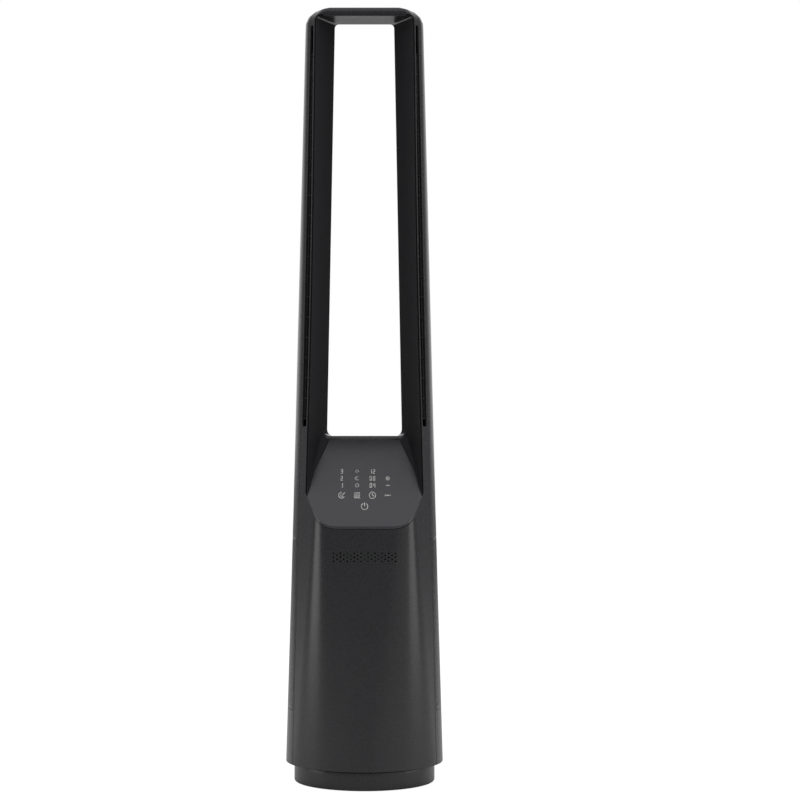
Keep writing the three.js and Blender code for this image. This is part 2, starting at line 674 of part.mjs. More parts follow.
/** Half the angle of a tooth at a radius, for a gear with the given pitch radius. */
function toothHalf(radius, pitchRadius, teeth, slack) {
  const base = pitchRadius * Math.cos(rad(PRESSURE_ANGLE));
  const atPitch = Math.PI / (2 * teeth) + slack / (2 * pitchRadius);
  const here = Math.acos(Math.min(1, base / Math.max(radius, base)));
  return atPitch + involute(rad(PRESSURE_ANGLE)) - involute(here);
}

/** Outline with an involute tooth, or the space of an inner gear, at each step from the phase. */
function gearOutline(teeth, radii, slack, phase) {
  const pitchRadius = (GEAR_MODULE * teeth) / 2;
  const points = [];
  for (let i = 0; i < teeth; i += 1) {
    const centre = phase + (2 * Math.PI * i) / teeth;
    const at = (r, angle) => points.push([r * Math.cos(angle), r * Math.sin(angle)]);
    const flank = radii.map((r) => [r, toothHalf(r, pitchRadius, teeth, slack)]);
    for (const [r, half] of flank) at(r, centre - half);
    for (const [r, half] of flank.reverse()) at(r, centre + half);
  }
  return points;
}

const STUB = 0.8; // addendum over module

function drivePinion() {
  const root = PINION_PITCH_RADIUS - 1.15 * GEAR_MODULE;
  const tip = PINION_PITCH_RADIUS + STUB * GEAR_MODULE;
  const outline = gearOutline(PINION_TEETH, [root, PINION_PITCH_RADIUS, tip], -BACKLASH, -Math.PI / 2);
  const low = GEAR_TOP_Z - GEAR_WIDTH - GAP;
  const gear = solid(raised(outline, GEAR_WIDTH).translate(0, 0, low));
  const bore = disc(DRIVE_SHAFT_RADIUS + SHAFT_RUN, low - 1, low + GEAR_WIDTH - 1.5, SMALL_CIRCLE);
  return gear.subtract(bore).translate(0, PINION_Y, 0);
}

function ringGear() {
  const tip = RING_PITCH_RADIUS - STUB * GEAR_MODULE;
  const root = RING_PITCH_RADIUS + 1.15 * GEAR_MODULE;
  const spaces = gearOutline(RING_TEETH, [tip, root], BACKLASH, -Math.PI / 2);
  const low = GEAR_TOP_Z - GEAR_WIDTH;
  const cutter = solid(raised(spaces, GEAR_WIDTH + 2).translate(0, 0, low - 1));
  return disc(RING_OUTER_RADIUS, low, GEAR_TOP_Z, WIDE_CIRCLE).subtract(cutter);
}

// ---------------------------------------------------------------- base
function baseHousing() {
  const lowZ = PLATE_Z;
  const profile = [[BASE_RADIUS - BASE_WALL, lowZ], [BASE_RADIUS - BASE_EDGE, lowZ]];
  const steps = 3;
  for (let i = 1; i <= steps; i += 1) {
    const turn = (Math.PI / 2) * (i / steps);
    profile.push([BASE_RADIUS - BASE_EDGE * (1 - Math.sin(turn)), lowZ + BASE_EDGE * (1 - Math.cos(turn))]);
  }
  profile[0][0] = BASE_RADIUS - BASE_EDGE - 1;
  profile.push([BASE_RADIUS, BASE_HEIGHT - 1], [BASE_RADIUS - 1, BASE_HEIGHT]);
  profile.push([SPINDLE_RADIUS + GAP, BASE_HEIGHT], [SPINDLE_RADIUS + GAP, BASE_ROOF_Z]);
  profile.push([BASE_RADIUS - BASE_WALL, BASE_ROOF_Z], [BASE_RADIUS - BASE_WALL, lowZ + BASE_EDGE]);
  const shaftHole = disc(DRIVE_SHAFT_RADIUS + 1, BASE_ROOF_Z - 2, BASE_HEIGHT + 2, SMALL_CIRCLE)
    .translate(0, PINION_Y, 0);
  const [w, h] = [INLET.width / 2 + GAP, INLET.height / 2 + GAP];
  const inletHole = box([-w, BASE_RADIUS - 6, INLET.z - h], [w, BASE_RADIUS + 4, INLET.z + h]);
  return turned(profile, WIDE_CIRCLE).subtract(shaftHole).subtract(inletHole);
}

const basePlate = () =>
  disc(BASE_RADIUS - BASE_EDGE - 1 - GAP, PLATE_Z, PLATE_Z + BASE_PLATE_THICKNESS, WIDE_CIRCLE);

function counterweight() {
  const low = PLATE_Z + BASE_PLATE_THICKNESS + GAP;
  const high = low + WEIGHT_THICKNESS;
  const motor = disc(DRIVE_MOTOR_RADIUS + WEIGHT_CLEARANCE, low - 1, high + 1)
    .translate(0, PINION_Y - DRIVE_MOTOR_SHIFT, 0);
  const rim = BASE_RADIUS - BASE_WALL - WEIGHT_CLEARANCE;
  const mouth = rim - INLET.depth;
  const inlet = box([-INLET.width, mouth, low - 1], [INLET.width, BASE_RADIUS, high + 1]);
  return ring(WEIGHT_INNER_RADIUS, rim, low, high, WIDE_CIRCLE).subtract(motor).subtract(inlet);
}

function driveMotor() {
  const high = BASE_ROOF_Z - GAP;
  const can = disc(DRIVE_MOTOR_RADIUS, high - DRIVE_MOTOR_HEIGHT, high).translate(0, -DRIVE_MOTOR_SHIFT, 0);
  const shaftTop = GEAR_TOP_Z - GAP - 2.2;
  const shaft = disc(DRIVE_SHAFT_RADIUS, high - 2, shaftTop, SMALL_CIRCLE);
  return can.add(shaft).translate(0, PINION_Y, 0);
}

const pivotSpindle = () => turned([
  [SPINDLE_BORE, BASE_ROOF_Z - GAP - 3], [SPINDLE_FLANGE, BASE_ROOF_Z - GAP - 3],
  [SPINDLE_FLANGE, BASE_ROOF_Z - GAP], [SPINDLE_RADIUS, BASE_ROOF_Z - GAP],
  [SPINDLE_RADIUS, SPINDLE_TOP], [SPINDLE_BORE, SPINDLE_TOP]], SMALL_CIRCLE);

const pivotBushing = () => turned([
  [SPINDLE_RADIUS + GAP, TURN_Z], [BUSHING_RADIUS, TURN_Z], [BUSHING_RADIUS, HUB_TOP_Z + GAP],
  [HUB_BORE + HUB_WALL, HUB_TOP_Z + GAP], [HUB_BORE + HUB_WALL, BUSHING_TOP_Z],
  [SPINDLE_RADIUS + GAP, BUSHING_TOP_Z]], SMALL_CIRCLE);

const spindleNut = () => ring(
  SPINDLE_RADIUS + GAP, SPINDLE_FLANGE, BUSHING_TOP_Z + GAP, SPINDLE_TOP, SMALL_CIRCLE);

function powerInlet() {
  const [w, h] = [INLET.width / 2, INLET.height / 2];
  const rear = BASE_RADIUS - 1;
  const body = box([-w, rear - INLET.depth, INLET.z - h], [w, rear, INLET.z + h]);
  const mouth = new THREE.CylinderGeometry(INLET.bore, INLET.bore, INLET.reach + 1, 16);
  return body.subtract(solid(mouth.translate(0, rear - INLET.reach / 2 + 0.5, INLET.z)));
}

const glideRing = () => ring(GLIDE_RADIUS - GLIDE_WIDTH, GLIDE_RADIUS,
  BASE_HEIGHT + GAP, BASE_HEIGHT + GAP + GLIDE_THICKNESS);

// ---------------------------------------------------------------- turntable
function turntable() {
  const rim = halfSection(sectionAt(TURN_Z + TURNTABLE_THICKNESS), SHELL_WALL + GAP);
  const outline = [...rim, ...rim.slice(0, -1).reverse().map(([x, y]) => [-x, y])];
  const wellRadius = RING_OUTER_RADIUS + GAP;
  const top = TURN_Z + TURNTABLE_THICKNESS;
  const roofTop = WELL_ROOF_Z + TURNTABLE_THICKNESS;
  const wellOuter = wellRadius + TURNTABLE_THICKNESS;
  const well = turned([
    [wellRadius, TURN_Z], [wellOuter, TURN_Z], [wellOuter, roofTop], [HUB_BORE + HUB_WALL, roofTop],
    [HUB_BORE + HUB_WALL, HUB_TOP_Z], [HUB_BORE, HUB_TOP_Z], [HUB_BORE, WELL_ROOF_Z],
    [wellRadius, WELL_ROOF_Z]], WIDE_CIRCLE);
  const plate = solid(raised(outline, TURNTABLE_THICKNESS).translate(0, 0, TURN_Z));
  const middle = disc(wellRadius + TURNTABLE_THICKNESS / 2, TURN_Z - 1, top + 1, WIDE_CIRCLE);
  let table = plate.subtract(middle).add(well);
  const [w, l] = [MAIN_BOARD.width / 2 - BOARD_POST_RADIUS, MAIN_BOARD.length / 2 - BOARD_POST_RADIUS];
  for (const [x, y] of [[-w, -l], [w, -l], [w, l], [-w, l]]) {
    const post = disc(BOARD_POST_RADIUS, top - 1, top + MAIN_BOARD.lift, 8);
    table = table.add(post.translate(x, MAIN_BOARD.y + y, 0));
  }
  return table;
}

function mainBoard() {
  const low = TURN_Z + TURNTABLE_THICKNESS + MAIN_BOARD.lift + GAP;
  const high = low + MAIN_BOARD.thickness;
  const [w, l, y] = [MAIN_BOARD.width / 2, MAIN_BOARD.length / 2, MAIN_BOARD.y];
  const board = box([-w, y - l, low], [w, y + l, high]);
  const capacitor = disc(6, high - 0.5, high + 16, 12).translate(-w / 2, y, 0);
  const heatSink = box([2, y - 6, high - 0.5], [w / 2 + 6, y + 4, high + 14]);
  return board.add(capacitor).add(heatSink);
}

// ---------------------------------------------------------------- fan unit
const flowLine = (from, to, bend) => (u) => {
  const curve = new THREE.QuadraticBezierCurve(
    new THREE.Vector2(...from), new THREE.Vector2(...bend), new THREE.Vector2(...to));
  return curve.getPoint(u);
};
const shroudLine = flowLine([EYE_RADIUS, EYE_Z], [HOUSING_RADIUS, SHROUD_TOP_Z], [EYE_RADIUS, EYE_Z + 22]);
const HUB_NOSE_RADIUS = 12;
const HUB_TOP = CUP_FOOT_Z - 1.5;
const HUB_RIM_RADIUS = MOTOR_CUP_RADIUS - 1;
const hubLine = flowLine(
  [HUB_NOSE_RADIUS, EYE_Z + 2], [HUB_RIM_RADIUS, HUB_TOP - 2], [HUB_NOSE_RADIUS + 2, HUB_TOP - 6]);

function fanHousing() {
  const inner = [];
  const outerWall = [];
  const steps = 4;
  for (let i = 0; i <= steps; i += 1) {
    const p = shroudLine(i / steps);
    inner.push([p.x, p.y]);
    outerWall.push([p.x + HOUSING_WALL, p.y]);
  }
  const high = FLOOR_Z - GAP;
  const flange = high - HOUSING_FLANGE_THICKNESS;
  const [r, wide] = [HOUSING_RADIUS + HOUSING_WALL, HOUSING_RADIUS + HOUSING_WALL + HOUSING_FLANGE];
  const rim = [[r, flange], [wide, flange], [wide, high], [HOUSING_RADIUS, high]];
  return turned([...outerWall, ...rim, ...inner.reverse()]);
}

function inletBell() {
  const steps = 3;
  const [innerLine, outerLine] = [[], []];
  for (let i = 0; i <= steps; i += 1) {
    const turn = (Math.PI / 2) * (i / steps);
    const spread = (BELL_RADIUS - EYE_RADIUS) * (1 - Math.cos(turn));
    const drop = (EYE_Z - GAP - BELL_Z) * Math.sin(turn);
    innerLine.push([EYE_RADIUS + spread, EYE_Z - GAP - drop]);
    outerLine.push([EYE_RADIUS + HOUSING_WALL + spread, EYE_Z - GAP - drop + (i === steps ? 2 : 0)]);
  }
  return turned([...innerLine, ...outerLine.reverse()]);
}

/** Thin blade or vane through stations of [inner point, outer point, turn]. */
function bladeLoft(stations, thickness) {
  return lofted(stations.map(({ root, tip, turn }) => {
    const corner = (p, side) => {
      const angle = turn + (side * thickness) / (2 * p.x);
      return new THREE.Vector3(p.x * Math.cos(angle), p.x * Math.sin(angle), p.y);
    };
    return [corner(root, -1), corner(tip, -1), corner(tip, 1), corner(root, 1)];
  }));
}

const HUB_BORE_RADIUS = MOTOR_SHAFT_RADIUS + GAP;
const SHAFT_FOOT_Z = EYE_Z - 10;

function impeller() {
  const steps = 4;
  const face = [];
  for (let i = 0; i <= steps; i += 1) face.push([hubLine(i / steps).x, hubLine(i / steps).y]);
  const body = turned([
    [HUB_BORE_RADIUS, EYE_Z], [HUB_NOSE_RADIUS, EYE_Z], ...face,
    [HUB_RIM_RADIUS, HUB_TOP], [HUB_BORE_RADIUS, HUB_TOP]]);
  const stations = [];
  for (let i = 0; i <= steps; i += 1) {
    const u = i / steps;
    const root = hubLine(lerp(0.05, 0.97, u));
    const tip = shroudLine(lerp(0.08, 0.93, u));
    root.x -= 1.5;
    tip.x -= TIP_CLEARANCE;
    stations.push({ root, tip, turn: -rad(BLADE_TURN) * u });
  }
  const blade = bladeLoft(stations, BLADE_THICKNESS);
  const blades = [];
  for (let i = 0; i < BLADES; i += 1) blades.push(blade.rotate([0, 0, (360 * i) / BLADES]));
  return added([body, ...blades]);
}

const impellerNut = () => disc(7, SHAFT_FOOT_Z, EYE_Z - GAP, 6)
  .subtract(disc(HUB_BORE_RADIUS, SHAFT_FOOT_Z + 2, EYE_Z, SMALL_CIRCLE));

function statorVanes() {
  const low = CUP_FOOT_Z + 4;
  const high = CUP_SHOULDER_Z - 6;
  const outerRadius = HOUSING_RADIUS - GAP;
  const [wall, narrow] = [MOTOR_CUP_RADIUS - CUP_WALL, MOTOR_CUP_RADIUS * 0.4];
  const cup = turned([
    [wall, CUP_FOOT_Z], [MOTOR_CUP_RADIUS, CUP_FOOT_Z], [MOTOR_CUP_RADIUS, CUP_SHOULDER_Z - 3],
    [MOTOR_CUP_RADIUS * 0.8, lerp(CUP_SHOULDER_Z, CUP_TIP_Z, 0.55)],
    [MOTOR_CUP_RADIUS * 0.34, CUP_TIP_Z - 3], [0, CUP_TIP_Z],
    [0, CUP_TIP_Z - 12], [narrow, CUP_SHOULDER_Z + 10], [narrow, CUP_SHOULDER_Z],
    [wall, CUP_SHOULDER_Z]]);
  const rim = ring(outerRadius - CUP_WALL, outerRadius, low - 2, high + 2);
  const stations = [];
  const steps = 3;
  for (let i = 0; i <= steps; i += 1) {
    const u = i / steps;
    const z = lerp(low, high, u);
    const root = new THREE.Vector2(MOTOR_CUP_RADIUS - 1, z);
    const tip = new THREE.Vector2(outerRadius - 1, z);
    stations.push({ root, tip, turn: rad(34) * (1 - (1 - u) ** 2) });
  }
  const vane = bladeLoft(stations, VANE_THICKNESS);
  const vanes = [];
  for (let i = 0; i < VANES; i += 1) vanes.push(vane.rotate([0, 0, (360 * i) / VANES]));
  return added([cup, rim, ...vanes]);
}

const TUBE_BORE = BEARING_RADIUS + GAP;
const TUBE_RADIUS = TUBE_BORE + MOTOR_TUBE_WALL;
const MOTOR_PLATE_Z = STATOR_Z + STATOR_HEIGHT + 8;
const MOTOR_PLATE_THICKNESS = 2.5;

/** Laminated core on its bearing tube and mounting plate. */
function motorStator() {
  const high = STATOR_Z + STATOR_HEIGHT;
  let core = ring(TUBE_BORE, STATOR_RADIUS, STATOR_Z, high);
  for (let i = 0; i < STATOR_TEETH; i += 1) {
    const slot = box([TUBE_RADIUS + 3, -2, STATOR_Z - 1], [STATOR_RADIUS + 1, 2, high + 1]);
    core = core.subtract(slot.rotate([0, 0, (360 * (i + 0.5)) / STATOR_TEETH]));
  }
  const tube = ring(TUBE_BORE, TUBE_RADIUS, STATOR_Z - 3, MOTOR_PLATE_Z + 1, SMALL_CIRCLE);
  const plate = ring(TUBE_BORE, MOTOR_PLATE_RADIUS, MOTOR_PLATE_Z, MOTOR_PLATE_Z + MOTOR_PLATE_THICKNESS);
  return added([core, tube, plate]);
}

/** Rotor bell with its shaft; it opens upwards round the core. */
function motorRotor() {
  const floorTop = STATOR_Z - 5;
  const bell = turned([
    [0, HUB_TOP + GAP], [ROTOR_RADIUS, HUB_TOP + GAP], [ROTOR_RADIUS, STATOR_Z + STATOR_HEIGHT],
    [ROTOR_RADIUS - 3, STATOR_Z + STATOR_HEIGHT], [ROTOR_RADIUS - 3, floorTop], [0, floorTop]]);
  const shaft = disc(MOTOR_SHAFT_RADIUS, SHAFT_FOOT_Z + 2 + GAP, MOTOR_PLATE_Z + 3, SMALL_CIRCLE);
  return bell.add(shaft);
}

const bearing = (low) => ring(
  MOTOR_SHAFT_RADIUS + SHAFT_RUN, BEARING_RADIUS, low, low + BEARING_WIDTH, SMALL_CIRCLE);

function plenumFloor() {
  const room = envelope(SHELL_WALL + FLOOR_CLEARANCE, TURN_Z);
  const plate = room.intersect(box([-FAR, -FAR, FLOOR_Z], [FAR, FAR, FLOOR_Z + FLOOR_THICKNESS]));
  return plate.subtract(disc(HOUSING_RADIUS, FLOOR_Z - 1, FLOOR_Z + FLOOR_THICKNESS + 1));
}

// ---------------------------------------------------------------- boards of the panel
const LINING_FACE = PANEL_THICKNESS + GAP + LINING_WALL; // depth of the lining's underside

/** Plate in the panel's axes, centred on the slope, at a depth below its face. */
function slopePlate(width, length, depth, thickness) {
  const middle = (PANEL_RIDGE.y - PANEL_FRONT.y) / (2 * Math.cos(slope));
  const geometry = new THREE.BoxGeometry(width, length, thickness);
  return onPanel(geometry.translate(0, middle, -depth - thickness / 2));
}

const touchBoard = () =>
  slopePlate(TOUCH_BOARD.width, TOUCH_BOARD.length, LINING_FACE + GAP, TOUCH_BOARD.thickness);

function boardTray() {
  const spread = 2 * (TRAY_WALL + GAP);
  const [w, l] = [TOUCH_BOARD.width + spread, TOUCH_BOARD.length + spread];
  const block = slopePlate(w, l, LINING_FACE + GAP, TRAY_DEPTH);
  const [wide, long] = [w - 2 * TRAY_WALL, l - 2 * TRAY_WALL];
  const room = slopePlate(wide, long, LINING_FACE + GAP - 1, TRAY_DEPTH - TRAY_WALL + 1);
  const seat = TOUCH_BOARD.thickness + 2 * GAP;
  const rib = slopePlate(wide + 1, TRAY_WALL, LINING_FACE + seat, TRAY_DEPTH - seat - TRAY_WALL / 2);
  return block.subtract(room).add(rib);
}

function sensorBoard() {
  const front = -sectionAt(VENT_Z).front + SHELL_WALL + SENSOR_POST + GAP;
  const [w, h] = [SENSOR_BOARD.width / 2, SENSOR_BOARD.height / 2];
  const board = box([-w, front, VENT_Z - h], [w, front + SENSOR_BOARD.thickness, VENT_Z + h]);
  const eye = box([-4, front - 4, VENT_Z - 3], [4, front + 0.5, VENT_Z + 3]);
  return board.add(eye);
}

// ---------------------------------------------------------------- scene
const finish = (color, roughness, metalness = 0) =>
  new THREE.MeshStandardMaterial({ color, roughness, metalness });
const darkShell = () => finish(0x212122, 0.35);
const blackPlastic = () => finish(0x101012, 0.5);
const innerPlastic = () => finish(0x3a3a3d, 0.6);
const steel = () => finish(0x9a9ca0, 0.35, 0.9);
const circuit = () => finish(0x1f5a37, 0.5);
const rubber = () => finish(0x1a1a1a, 0.9);

function piece(name, body, material) {
  const mesh = new THREE.Mesh(geometryOf(body), material);
  mesh.name = name;
  return mesh;
}

const fan = new THREE.Group();
const base = new THREE.Group();
const body = new THREE.Group();
const spinner = new THREE.Group();
fan.add(base, body);
body.add(spinner);

const FEET = ['front_left', 'front_right', 'rear_right', 'rear_left'];
FEET.forEach((place, i) => {
  const turn = Math.PI * (1.25 + i / 2);
  const foot = piece(`foot_${place}`, disc(FOOT_RADIUS, 0, FOOT_HEIGHT - GAP, SMALL_CIRCLE), rubber());
  foot.position.set(FOOT_CIRCLE * Math.cos(turn), FOOT_CIRCLE * Math.sin(turn), 0);
  base.add(foot);
});
base.add(
  piece('base_plate', basePlate(), blackPlastic()),
  piece('base_housing', baseHousing(), darkShell()),
  piece('counterweight', counterweight(), steel()),
  piece('oscillation_motor', driveMotor(), steel()),
  piece('pivot_spindle', pivotSpindle(), steel()),
  piece('spindle_nut', spindleNut(), steel()),
  piece('glide_ring', glideRing(), finish(0xe8e6df, 0.5)),
  piece('power_inlet', powerInlet(), blackPlastic()),
);
fan.add(piece('drive_pinion', drivePinion(), finish(0xe8e6df, 0.5)));

body.add(
  piece('turntable', turntable(), blackPlastic()),
  piece('ring_gear', ringGear(), finish(0xe8e6df, 0.5)),
  piece('pivot_bushing', pivotBushing(), finish(0xe8e6df, 0.5)),
  piece('front_shell', frontShell(), darkShell()),
  piece('rear_shell', rearShell(), darkShell()),
  piece('intake_grille', intakeGrille(), darkShell()),
  piece('loop_lining', liningShell(), darkShell()),
  piece('control_panel', panelPlate(), finish(0x46464a, 0.15)),
  piece('touch_board', touchBoard(), circuit()),
  piece('board_tray', boardTray(), innerPlastic()),
  piece('sensor_board', sensorBoard(), circuit()),
  piece('main_board', mainBoard(), circuit()),
  piece('plenum_floor', plenumFloor(), innerPlastic()),
  piece('fan_housing', fanHousing(), innerPlastic()),
  piece('inlet_bell', inletBell(), innerPlastic()),
  piece('stator_vanes', statorVanes(), innerPlastic()),
  piece('motor_stator', motorStator(), steel()),
  piece('bearing_lower', bearing(STATOR_Z - 3), steel()),
  piece('bearing_upper', bearing(MOTOR_PLATE_Z + 1 - BEARING_WIDTH), steel()),
);
const comb = outletComb();
body.add(
  piece('outlet_comb_right', comb, blackPlastic()),
  piece('outlet_comb_left', mirrored(comb), blackPlastic()),
);
for (let i = 0; i < MOUNT_COUNT; i += 1) {
  const turn = (2 * Math.PI * (i + 0.25)) / MOUNT_COUNT;
  const low = MOTOR_PLATE_Z + MOTOR_PLATE_THICKNESS + GAP;
  const mount = piece(`rubber_mount_${i + 1}`, disc(MOUNT_RADIUS, low, CUP_SHOULDER_Z - GAP, 12), rubber());
  mount.position.set(MOUNT_CIRCLE * Math.cos(turn), MOUNT_CIRCLE * Math.sin(turn), 0);
  body.add(mount);
}

spinner.add(
  piece('impeller', impeller(), finish(0x6a6c70, 0.45)),
  piece('impeller_nut', impellerNut(), steel()),
  piece('motor_rotor', motorRotor(), steel()),
);

export default fan;
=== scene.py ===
import json
from functools import lru_cache
from math import acos, asin, atan, atan2, copysign, cos, dist, pi, radians, sin, sqrt, tan
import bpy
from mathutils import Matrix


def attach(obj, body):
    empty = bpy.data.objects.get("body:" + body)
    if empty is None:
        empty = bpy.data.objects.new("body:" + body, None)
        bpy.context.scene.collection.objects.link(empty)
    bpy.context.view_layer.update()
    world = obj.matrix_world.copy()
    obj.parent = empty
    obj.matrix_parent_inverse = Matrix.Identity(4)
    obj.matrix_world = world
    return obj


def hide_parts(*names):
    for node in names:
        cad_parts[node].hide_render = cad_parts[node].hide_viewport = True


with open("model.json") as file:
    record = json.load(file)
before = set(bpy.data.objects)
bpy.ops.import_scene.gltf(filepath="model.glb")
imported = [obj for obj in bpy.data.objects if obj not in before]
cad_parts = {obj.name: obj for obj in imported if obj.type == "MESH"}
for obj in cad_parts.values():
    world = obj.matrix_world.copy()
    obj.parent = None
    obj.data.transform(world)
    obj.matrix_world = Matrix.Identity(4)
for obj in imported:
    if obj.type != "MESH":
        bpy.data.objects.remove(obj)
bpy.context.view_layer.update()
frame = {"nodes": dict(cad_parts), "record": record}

from types import SimpleNamespace

import bmesh
import bpy
import numpy as np
from mathutils import Vector
from mathutils.geometry import delaunay_2d_cdt

# A tall bladeless fan in charcoal moulded plastic: a round foot, a perforated intake and a
# hollow loop. Shapes are worked out in millimetres in the model's own frame, front to -Y.
MM = 0.001
GAP = 0.3
QUARTER = pi / 2

# body sections at three heights, joined by straight lines: half the flat front, the front's arc,
# the corner, the facet and the side, then how far the front and rear lie from the axis
BODY_FOOT = SimpleNamespace(z=25.5, flat=0.5, front_radius=96, corner_radius=96, facet=2,
                            side_radius=96, front=97, rear=97)
BODY_WAIST = SimpleNamespace(z=340, flat=38, front_radius=30, corner_radius=24, facet=45.2,
                             side_radius=81, front=79, rear=65.7)
BODY_TOP = SimpleNamespace(z=960, flat=54, front_radius=6, corner_radius=6, facet=21.3,
                           side_radius=48, front=30, rear=38)
BODY_HEIGHT = 956
FRONT_ARC, FACET_ANGLE = radians(20), radians(65)
TOP_CORNER, TOP_EDGE = 17, 4
ROUND_FROM = BODY_HEIGHT - TOP_CORNER
ROUND_END = ROUND_FROM + TOP_CORNER * QUARTER
REAR_STEPS = 60
WALL, SEAM_GAP, LIP_GAP = 2.4, 0.5, 0.15

# opening of the loop, its lining and the panel on its sloping floor
OPENING_TOP, OPENING_TOP_HALF, OPENING_GROWTH = 945, 36, 0.0181
FLARE_TOP, FLARE_FOOT, FLARE_FOOT_Z = radians(21), radians(13.3), 473
CORNER_TOP, CORNER_FOOT, CORNER_FRONT, CORNER_FADE_FRONT = 5, 9, 0.6, -25
REAR_EDGE_TOP, REAR_EDGE_FOOT, RIM_ROLL = 3, 8, 2.2
LINING_WALL = 2.2
LIP_ROUNDING = ((0, 0.7), (0.2, 0.2), (0.7, 0), (1.7, 0), (2.05, 0.15), (2.2, 0.5))
PANEL_FRONT_Y, PANEL_FRONT_Z = -80, 320
RIDGE_Y, RIDGE_Z, RIDGE_SOFT, SHELF_FALL = 22, 428, 4, 0.04
SLOPE = atan2(RIDGE_Z - PANEL_FRONT_Z, RIDGE_Y - PANEL_FRONT_Y)
PANEL_THICKNESS, PANEL_MARGIN = 1.8, 4
PANEL_EDGE = ((1.8, 0.4), (1.4, 0), (0.45, 0), (0.2, 0.08), (0.06, 0.24), (0, 0.5), (0, 1.2))

# outlet slots with their ribs, vent, and intake with the grid its pattern is laid on
SLOT_FOOT_Z, SLOT_TOP_Z, SLOT_END = 440, 936, 2.2
SLOT_FROM_LIP, SLOT_FROM_SEAM, SLOT_UNDERCUT, SLOT_ROUNDING = 8, 4.7, 2.6, 0.45
RIB_FIRST_Z, RIB_PITCH, RIB_COUNT = 450, 25, 19
RIB_RECESS, RIB_DEPTH, RIB_THICKNESS = 1.3, 2, 1
RAIL_OUTLINE = ((-1.5, 0.4), (-1.1, 0), (1.1, 0), (1.5, 0.4), (1.5, 2.6), (-1.5, 2.6))
HOLE_PITCH = 4.8
VENT_Z, VENT_COLUMNS, VENT_HOLE = 283, 19, 1.05
INTAKE_FOOT_Z, INTAKE_TOP_Z, INTAKE_FROM_SEAM = 92, 303, 2.6
INTAKE_HOLE, INTAKE_MARGIN, GRILLE_WALL = 0.95, 1.3, 2
INTAKE_REACH, MAP_ACROSS, MAP_UP = 220, 2.0, 6.0

# foot cover and the printed symbols
BASE_RADIUS, BASE_FOOT_Z, BASE_TOP_Z, BASE_ROLL, BASE_EASE = 87, 1.2, 24.0, 2, 1.4
BASE_STEP, SPINDLE_HOLE, BASE_SIDES = 60, 9.3, 156
INLET_Z, INLET_HALF = 12.5, (6.8, 4.8)
INK, INK_FOOT = 0.05, 0.002
SYMBOL_COLUMNS, SYMBOL_ROWS = (-28.0, -9.2, 9.7, 28.6), (88.8, 77.6, 66.0, 50.0)
POWER_ROW, SYMBOL_STRETCH = 32.0, 1.3

# camera in metres, its lens in millimetres, its shift in pixels of the frame; then the studio
CAMERA_AT, SENSOR, LENS = (0, -2.797, 0.4728), 36, 101.25
FRAME, FRAME_SHIFT = 800, 35.5
FLOOR_REACH, FLOOR_WHITE, FLOOR_GLOW = 20000, 0.76, 1.25
BACKDROP_EDGE, ROOM_DIM, ROOM_RIGHT = (0.77, 0.85), "#7a7a7c", "#f0f0f0"
# name, size, place, what it points at, watts, and whether it shows in gloss
LAMPS = (
    ("left_strip", (1.1, 2.2), (-2.19, -0.23, 0.75), (0, 0, 0.7), 15, True),
    ("right_strip", (1.1, 2.2), (2.19, -0.23, 0.75), (0, 0, 0.7), 12, True),
    ("overhead", (3.0, 2.4), (0, -0.2, 2.6), (0, 0, 0.4), 18, True),
    ("front_fill", (2.5, 2.5), (0, -3.2, 1.6), (0, 0, 0.5), 45, False),
    ("rear_fill", (2.5, 2.5), (0, 3.2, 2.0), (0, 0, 0.3), 45, False),
)


def mix(a, b, t):
    """Value a share t of the way from a to b."""
    return a + (b - a) * t


def clamp(value, low, high):
    return min(max(value, low), high)


def steps(low, high, size):
    """Even steps from low to high, both included."""
    count = max(1, round(abs(high - low) / size))
    return [mix(low, high, i / count) for i in range(count + 1)]


def last_holding(test, low, high):
    """The value between low and high up to which a test holds."""
    for _ in range(22):
        middle = (low + high) / 2
        if test(middle):
            low = middle
        else:
            high = middle
    return (low + high) / 2


# ---------------------------------------------------------------- body surface
def front_arcs(s):
    """Radius, start and end of the arcs between the flat front and the facet."""
    return (s.front_radius, 0, FRONT_ARC), (s.corner_radius, FRONT_ARC, FACET_ANGLE)


@lru_cache(maxsize=None)
def section(z):
    """Sizes of the body's section at a height, with the places and arc lengths they give."""
    low, high = (BODY_FOOT, BODY_WAIST) if z < BODY_WAIST.z else (BODY_WAIST, BODY_TOP)
    t = (z - low.z) / (high.z - low.z)
    s = SimpleNamespace(**{key: mix(value, vars(high)[key], t) for key, value in vars(low).items()})
    sin_a, sin_b = sin(FRONT_ARC), sin(FACET_ANGLE)
    cos_a, cos_b = cos(FRONT_ARC), cos(FACET_ANGLE)
    facet_x = s.flat + s.front_radius * sin_a + s.corner_radius * (sin_b - sin_a)
    facet_y = -s.front + s.front_radius * (1 - cos_a) + s.corner_radius * (cos_a - cos_b)
    s.seam_x = facet_x + s.facet * cos_b
    s.seam_y = facet_y + s.facet * sin_b
    s.half = s.seam_x + s.side_radius * (1 - sin_b)
    s.widest = s.seam_y + s.side_radius * cos_b
    s.to_seam = (s.flat + s.front_radius * FRONT_ARC
                 + s.corner_radius * (FACET_ANGLE - FRONT_ARC) + s.facet)
    s.rear_arc, last = [0.0], (s.half, 0.0)
    for i in range(1, REAR_STEPS + 1):
        turn = QUARTER * i / REAR_STEPS
        here = (s.half * cos(turn), (s.rear - s.widest) * sin(turn))
        s.rear_arc.append(s.rear_arc[-1] + dist(here, last))
        last = here
    s.to_rear = s.to_seam + s.side_radius * (QUARTER - FACET_ANGLE) + s.rear_arc[-1]
    return s


REAR_TURNS = np.linspace(0, QUARTER, REAR_STEPS + 1)


def wrapped(z, u):
    """The same place on the girth, at most half way round from the front."""
    reach = section(z).to_rear
    return u - copysign(2 * reach, u) if abs(u) > reach else u


